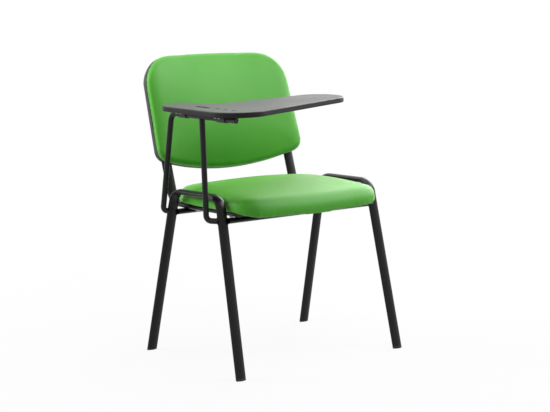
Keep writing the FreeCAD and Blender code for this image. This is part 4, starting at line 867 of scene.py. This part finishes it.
def path_mesh(name, runs):
    """A mesh of edges only, one open or closed chain for each run of points."""
    points = []
    edges = []
    for run, closed in runs:
        first = len(points)
        points += [tuple(point) for point in run]
        edges += [(first + index, first + index + 1) for index in range(len(run) - 1)]
        if closed:
            edges.append((first + len(run) - 1, first))
    mesh = bpy.data.meshes.new(name)
    mesh.from_pydata(points, edges, [])
    return mesh


# Welds

def seam_round(node, neighbour, centre, axis, side, reach, count=36):
    """A loop round a tube: each ray finds the tube's skin near the centre, and from just over the skin a
    second one runs along the axis to the neighbour. Where either misses, the loop has a gap."""
    tube = search_tree(NODES[node].data)
    other = search_tree(NODES[neighbour].data)
    axis = Vector(axis).normalized()
    side = Vector(side).normalized()
    up = axis.cross(side)
    loop = []
    for index in range(count):
        turn = math.tau * index / count
        ray = side * math.cos(turn) + up * math.sin(turn)
        skin = tube.ray_cast(Vector(centre) + ray * reach, -ray, reach)
        if skin[0] is None:
            loop.append(None)
            continue
        foot = skin[0] + ray * SKIN_CLEARANCE
        hit = other.ray_cast(foot, axis, reach * 2)
        loop.append(hit[0] - axis * BEAD_BITE if hit[0] is not None else None)
    return loop


def open_runs(loop):
    """The unbroken parts of a loop that has gaps."""
    if all(point is not None for point in loop):
        return [(loop, True)]
    runs = []
    start = next(index for index, point in enumerate(loop) if point is None)
    run = []
    for point in loop[start:] + loop[:start]:
        if point is None:
            if len(run) > 2:
                runs.append((run, False))
            run = []
        else:
            run.append(point)
    if len(run) > 2:
        runs.append((run, False))
    return runs


def weld_runs():
    """Every weld that shows: the cross tubes and posts to the leg frames, and the front post's head to the
    bar, where the side that the folded tablet passes is left flush."""
    runs = []
    for tube in ("front_cross_tube", "rear_cross_tube"):
        low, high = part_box(tube)
        middle = (low + high) / 2
        for leg, way in (("right_leg_frame", -1), ("left_leg_frame", 1)):
            end = low.x if way < 0 else high.x
            centre = Vector((end - way * TUBE_INSIDE, middle.y, middle.z))
            runs += open_runs(seam_round(tube, leg, centre, (way, 0, 0), (0, 1, 0), TUBE_REACH))
    for post in ("tablet_support", "tablet_front_post"):
        low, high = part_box(post)
        points = places(NODES[post].data)
        foot = points[points[:, 0] > high.x - FOOT_SLICE].mean(0)
        centre = Vector((high.x - POST_INSIDE, foot[1], foot[2]))
        runs += open_runs(seam_round(post, "right_leg_frame", centre, (1, 0, 0), (0, 1, 0), POST_REACH))
    low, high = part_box("tablet_front_post")
    points = places(NODES["tablet_front_post"].data)
    head = points[points[:, 2] > high.z - HEAD_SLICE].mean(0)
    centre = Vector((head[0], head[1], high.z - HEAD_INSIDE))
    seam = seam_round("tablet_front_post", "tablet_support", centre, HEAD_AXIS, (1, 0, 0), POST_REACH)
    flush = head[0] - FLUSH_SIDE
    runs += open_runs([point if point is not None and point.x > flush else None for point in seam])
    return runs


# Operators

class CHAIR_OT_finishes(bpy.types.Operator):
    """Make the finishes and give each CAD solid its own."""

    bl_idname = "chair.finishes"
    bl_label = "Finishes"

    def execute(self, context):
        make_finishes(context.scene.chair_finishes)
        for part in frame["record"]["subparts"]:
            node = NODES[part["node"]]
            finish = FINISHES[part["material_slot"]]
            if node.data.materials:
                for index in range(len(node.data.materials)):
                    node.data.materials[index] = finish
            else:
                node.data.materials.append(finish)
        return {"FINISHED"}


class CHAIR_OT_seat(bpy.types.Operator):
    """Make the seat cushion."""

    bl_idname = "chair.seat"
    bl_label = "Seat cushion"

    def execute(self, context):
        settings = context.scene.chair_cushions
        along = (0, math.cos(SEAT_FALL), -math.sin(SEAT_FALL))
        out = (0, math.sin(SEAT_FALL), math.cos(SEAT_FALL))
        space = PanelSpace(places(NODES["seat_cushion"].data), along, out)
        travel = settings.seat_travel
        cushion = make_cushion("seat_pad", "seat_cushion", "seat_board", space, travel, settings)
        pucker_corners(cushion, space, settings.pucker, 0.03)
        dress_cushion(cushion, "seat_cushion")
        return {"FINISHED"}


class CHAIR_OT_backrest(bpy.types.Operator):
    """Make the backrest cushion."""

    bl_idname = "chair.backrest"
    bl_label = "Backrest cushion"

    def execute(self, context):
        settings = context.scene.chair_cushions
        along = (0, math.sin(BACK_LEAN), math.cos(BACK_LEAN))
        out = (0, -math.cos(BACK_LEAN), math.sin(BACK_LEAN))
        space = PanelSpace(places(NODES["backrest_cushion"].data), along, out, BACK_BOW)
        cushion = make_cushion(
            "backrest_pad", "backrest_cushion", "backrest_board", space, settings.back_travel, settings
        )
        pucker_corners(cushion, space, settings.pucker * 0.6, 0.015)
        dress_cushion(cushion, "backrest_cushion")
        return {"FINISHED"}


class CHAIR_OT_welds(bpy.types.Operator):
    """Make the weld beads of the frame."""

    bl_idname = "chair.welds"
    bl_label = "Weld beads"

    def execute(self, context):
        settings = context.scene.chair_trim
        runs = weld_runs()
        if not runs:
            raise RuntimeError("no weld line was found")
        values = {
            "Radius": settings.bead_radius,
            "Ripple": settings.bead_ripple,
            "Seed": 7,
            "Finish": FINISHES["frame"],
        }
        beads = grow("weld_beads", path_mesh("weld_lines", runs), make_bead_tree(), values)
        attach(beads, CHAIR)
        return {"FINISHED"}


class CHAIR_OT_tablet_ribs(bpy.types.Operator):
    """Make the row of low ribs in front of the tablet's pen groove."""

    bl_idname = "chair.tablet_ribs"
    bl_label = "Tablet ribs"

    def execute(self, context):
        settings = context.scene.chair_trim
        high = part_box("tablet_top")[1]
        plug_low, plug_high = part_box("bar_plug")
        across = (plug_low.x + plug_high.x) / 2 + settings.rib_inset
        tree = search_tree(NODES["tablet_top"].data)
        run = []
        for index in range(settings.rib_count):
            along = high.y - settings.rib_start - index * settings.rib_pitch
            hit = tree.ray_cast(Vector((across, along, high.z + 0.02)), -UPWARD, 0.1)
            if hit[0] is None:
                raise RuntimeError("no place for a rib was found")
            run.append(hit[0])
        values = {
            "Count": settings.rib_count,
            "Length": settings.rib_length,
            "Width": settings.rib_width,
            "Height": settings.rib_height,
            "Finish": FINISHES["tablet"],
        }
        ribs = grow("tablet_ribs", path_mesh("tablet_rib_line", [(run, False)]), make_rib_tree(), values)
        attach(ribs, TABLET)
        return {"FINISHED"}


def area_lamp(name, place, aim, width, height, power):
    """A soft rectangular lamp that points at a place, with its power in watts."""
    lamp = bpy.data.lights.new(name, "AREA")
    lamp.shape = "RECTANGLE"
    lamp.size = width
    lamp.size_y = height
    lamp.energy = power
    item = bpy.data.objects.new(name, lamp)
    bpy.context.collection.objects.link(item)
    item.location = place
    item.rotation_euler = (Vector(aim) - Vector(place)).to_track_quat("-Z", "Y").to_euler()


def seen_directly(tree):
    """1 for rays that show the background itself, straight or in a reflection, else 0."""
    path = tree.nodes.new("ShaderNodeLightPath")
    camera, glass = path.outputs["Is Camera Ray"], path.outputs["Is Transmission Ray"]
    straight = calculation(tree, "MAXIMUM", camera, glass)
    return calculation(tree, "MAXIMUM", straight, path.outputs["Is Glossy Ray"])


def make_floor_finish(colour):
    """A pale floor that keeps the object's shadow and turns plain white farther out."""
    material, tree, shader = new_finish("pale_floor")
    shader.inputs["Base Color"].default_value = (*colour, 1)
    shader.inputs["Roughness"].default_value = 0.9
    shader.inputs["Specular IOR Level"].default_value = 0.1
    coordinates = tree.nodes.new("ShaderNodeTexCoord")
    far = tree.nodes.new("ShaderNodeVectorMath")
    far.operation = "LENGTH"
    tree.links.new(coordinates.outputs["Object"], far.inputs[0])
    plain = map_range(tree, far.outputs["Value"], 0.5, 1.6, 0.90, 1.0)
    glow = tree.nodes.new("ShaderNodeEmission")
    glow.inputs["Color"].default_value = (1, 1, 1, 1)
    mix = tree.nodes.new("ShaderNodeMixShader")
    out = next(node for node in tree.nodes if node.type == "OUTPUT_MATERIAL")
    tree.links.new(calculation(tree, "MULTIPLY", seen_directly(tree), plain), mix.inputs["Fac"])
    tree.links.new(shader.outputs["BSDF"], mix.inputs[1])
    tree.links.new(glow.outputs["Emission"], mix.inputs[2])
    tree.links.new(mix.outputs["Shader"], out.inputs["Surface"])
    return material


def make_floor(settings):
    """A wide plain floor."""
    mesh = bpy.data.meshes.new("floor")
    corners = [(x * FLOOR_REACH, y * FLOOR_REACH, 0) for x, y in ((-1, -1), (1, -1), (1, 1), (-1, 1))]
    mesh.from_pydata(corners, [], [(0, 1, 2, 3)])
    mesh.materials.append(make_floor_finish(settings.floor_colour))
    new_object("floor", mesh)


def make_room(strength):
    """A world that lights evenly at its strength and shows as plain white."""
    world = bpy.data.worlds.new("room")
    world.use_nodes = True
    tree = world.node_tree
    tree.nodes.clear()
    even = tree.nodes.new("ShaderNodeBackground")
    even.inputs["Strength"].default_value = strength
    white = tree.nodes.new("ShaderNodeBackground")
    white.inputs["Color"].default_value = (1, 1, 1, 1)
    white.inputs["Strength"].default_value = 1.0
    mix = tree.nodes.new("ShaderNodeMixShader")
    out = tree.nodes.new("ShaderNodeOutputWorld")
    tree.links.new(seen_directly(tree), mix.inputs["Fac"])
    tree.links.new(even.outputs["Background"], mix.inputs[1])
    tree.links.new(white.outputs["Background"], mix.inputs[2])
    tree.links.new(mix.outputs["Shader"], out.inputs["Surface"])
    return world


def make_camera(settings):
    """The camera, where the photograph was taken from."""
    camera = bpy.data.cameras.new("camera")
    camera.sensor_width = 36
    camera.lens = settings.camera_lens
    camera.clip_start = 0.05
    camera.clip_end = 200
    item = bpy.data.objects.new("camera", camera)
    bpy.context.collection.objects.link(item)
    item.location = settings.camera_place
    item.rotation_euler = Euler((math.pi / 2 - settings.camera_dip, 0, settings.camera_turn))
    return item


class CHAIR_OT_stage(bpy.types.Operator):
    """Make the floor, the lamps, the room's light and the camera."""

    bl_idname = "chair.stage"
    bl_label = "Studio"

    def execute(self, context):
        scene = context.scene
        settings = scene.chair_studio
        make_floor(settings)
        for name, (place, aim_height, width, height) in LAMPS.items():
            power = getattr(settings, name + "_power")
            area_lamp(name + "_lamp", place, (0, 0, aim_height), width, height, power)
        scene.world = make_room(settings.room_strength)
        scene.camera = make_camera(settings)
        scene.view_settings.view_transform = "Standard"
        return {"FINISHED"}


class CHAIR_PT_panel(bpy.types.Panel):
    """Buttons and settings of the chair."""

    bl_idname = "CHAIR_PT_panel"
    bl_label = "Conference chair"
    bl_space_type = "VIEW_3D"
    bl_region_type = "UI"
    bl_category = "Chair"

    def draw(self, context):
        for operator in OPERATORS:
            self.layout.operator(operator.bl_idname)
        for group in GROUPS:
            box = self.layout.box()
            settings = getattr(context.scene, group)
            for label in settings.bl_rna.properties.keys():
                if label not in ("rna_type", "name"):
                    box.prop(settings, label)


GROUPS = {
    "chair_finishes": FinishSettings,
    "chair_cushions": CushionSettings,
    "chair_trim": TrimSettings,
    "chair_studio": StudioSettings,
}
OPERATORS = [
    CHAIR_OT_stage,
    CHAIR_OT_finishes,
    CHAIR_OT_seat,
    CHAIR_OT_backrest,
    CHAIR_OT_welds,
    CHAIR_OT_tablet_ribs,
]


def register():
    """Make the settings, operators and panel known."""
    for name, group in GROUPS.items():
        bpy.utils.register_class(group)
        setattr(bpy.types.Scene, name, PointerProperty(type=group))
    for operator in OPERATORS:
        bpy.utils.register_class(operator)
    bpy.utils.register_class(CHAIR_PT_panel)


def unregister():
    """Take them away again."""
    bpy.utils.unregister_class(CHAIR_PT_panel)
    for operator in reversed(OPERATORS):
        bpy.utils.unregister_class(operator)
    for name, group in reversed(list(GROUPS.items())):
        delattr(bpy.types.Scene, name)
        bpy.utils.unregister_class(group)


def main():
    """Build everything."""
    register()
    bpy.ops.chair.stage()
    bpy.ops.chair.finishes()
    bpy.ops.chair.seat()
    bpy.ops.chair.backrest()
    bpy.ops.chair.welds()
    bpy.ops.chair.tablet_ribs()
    bpy.context.view_layer.update()


if __name__ == "__main__":
    main()
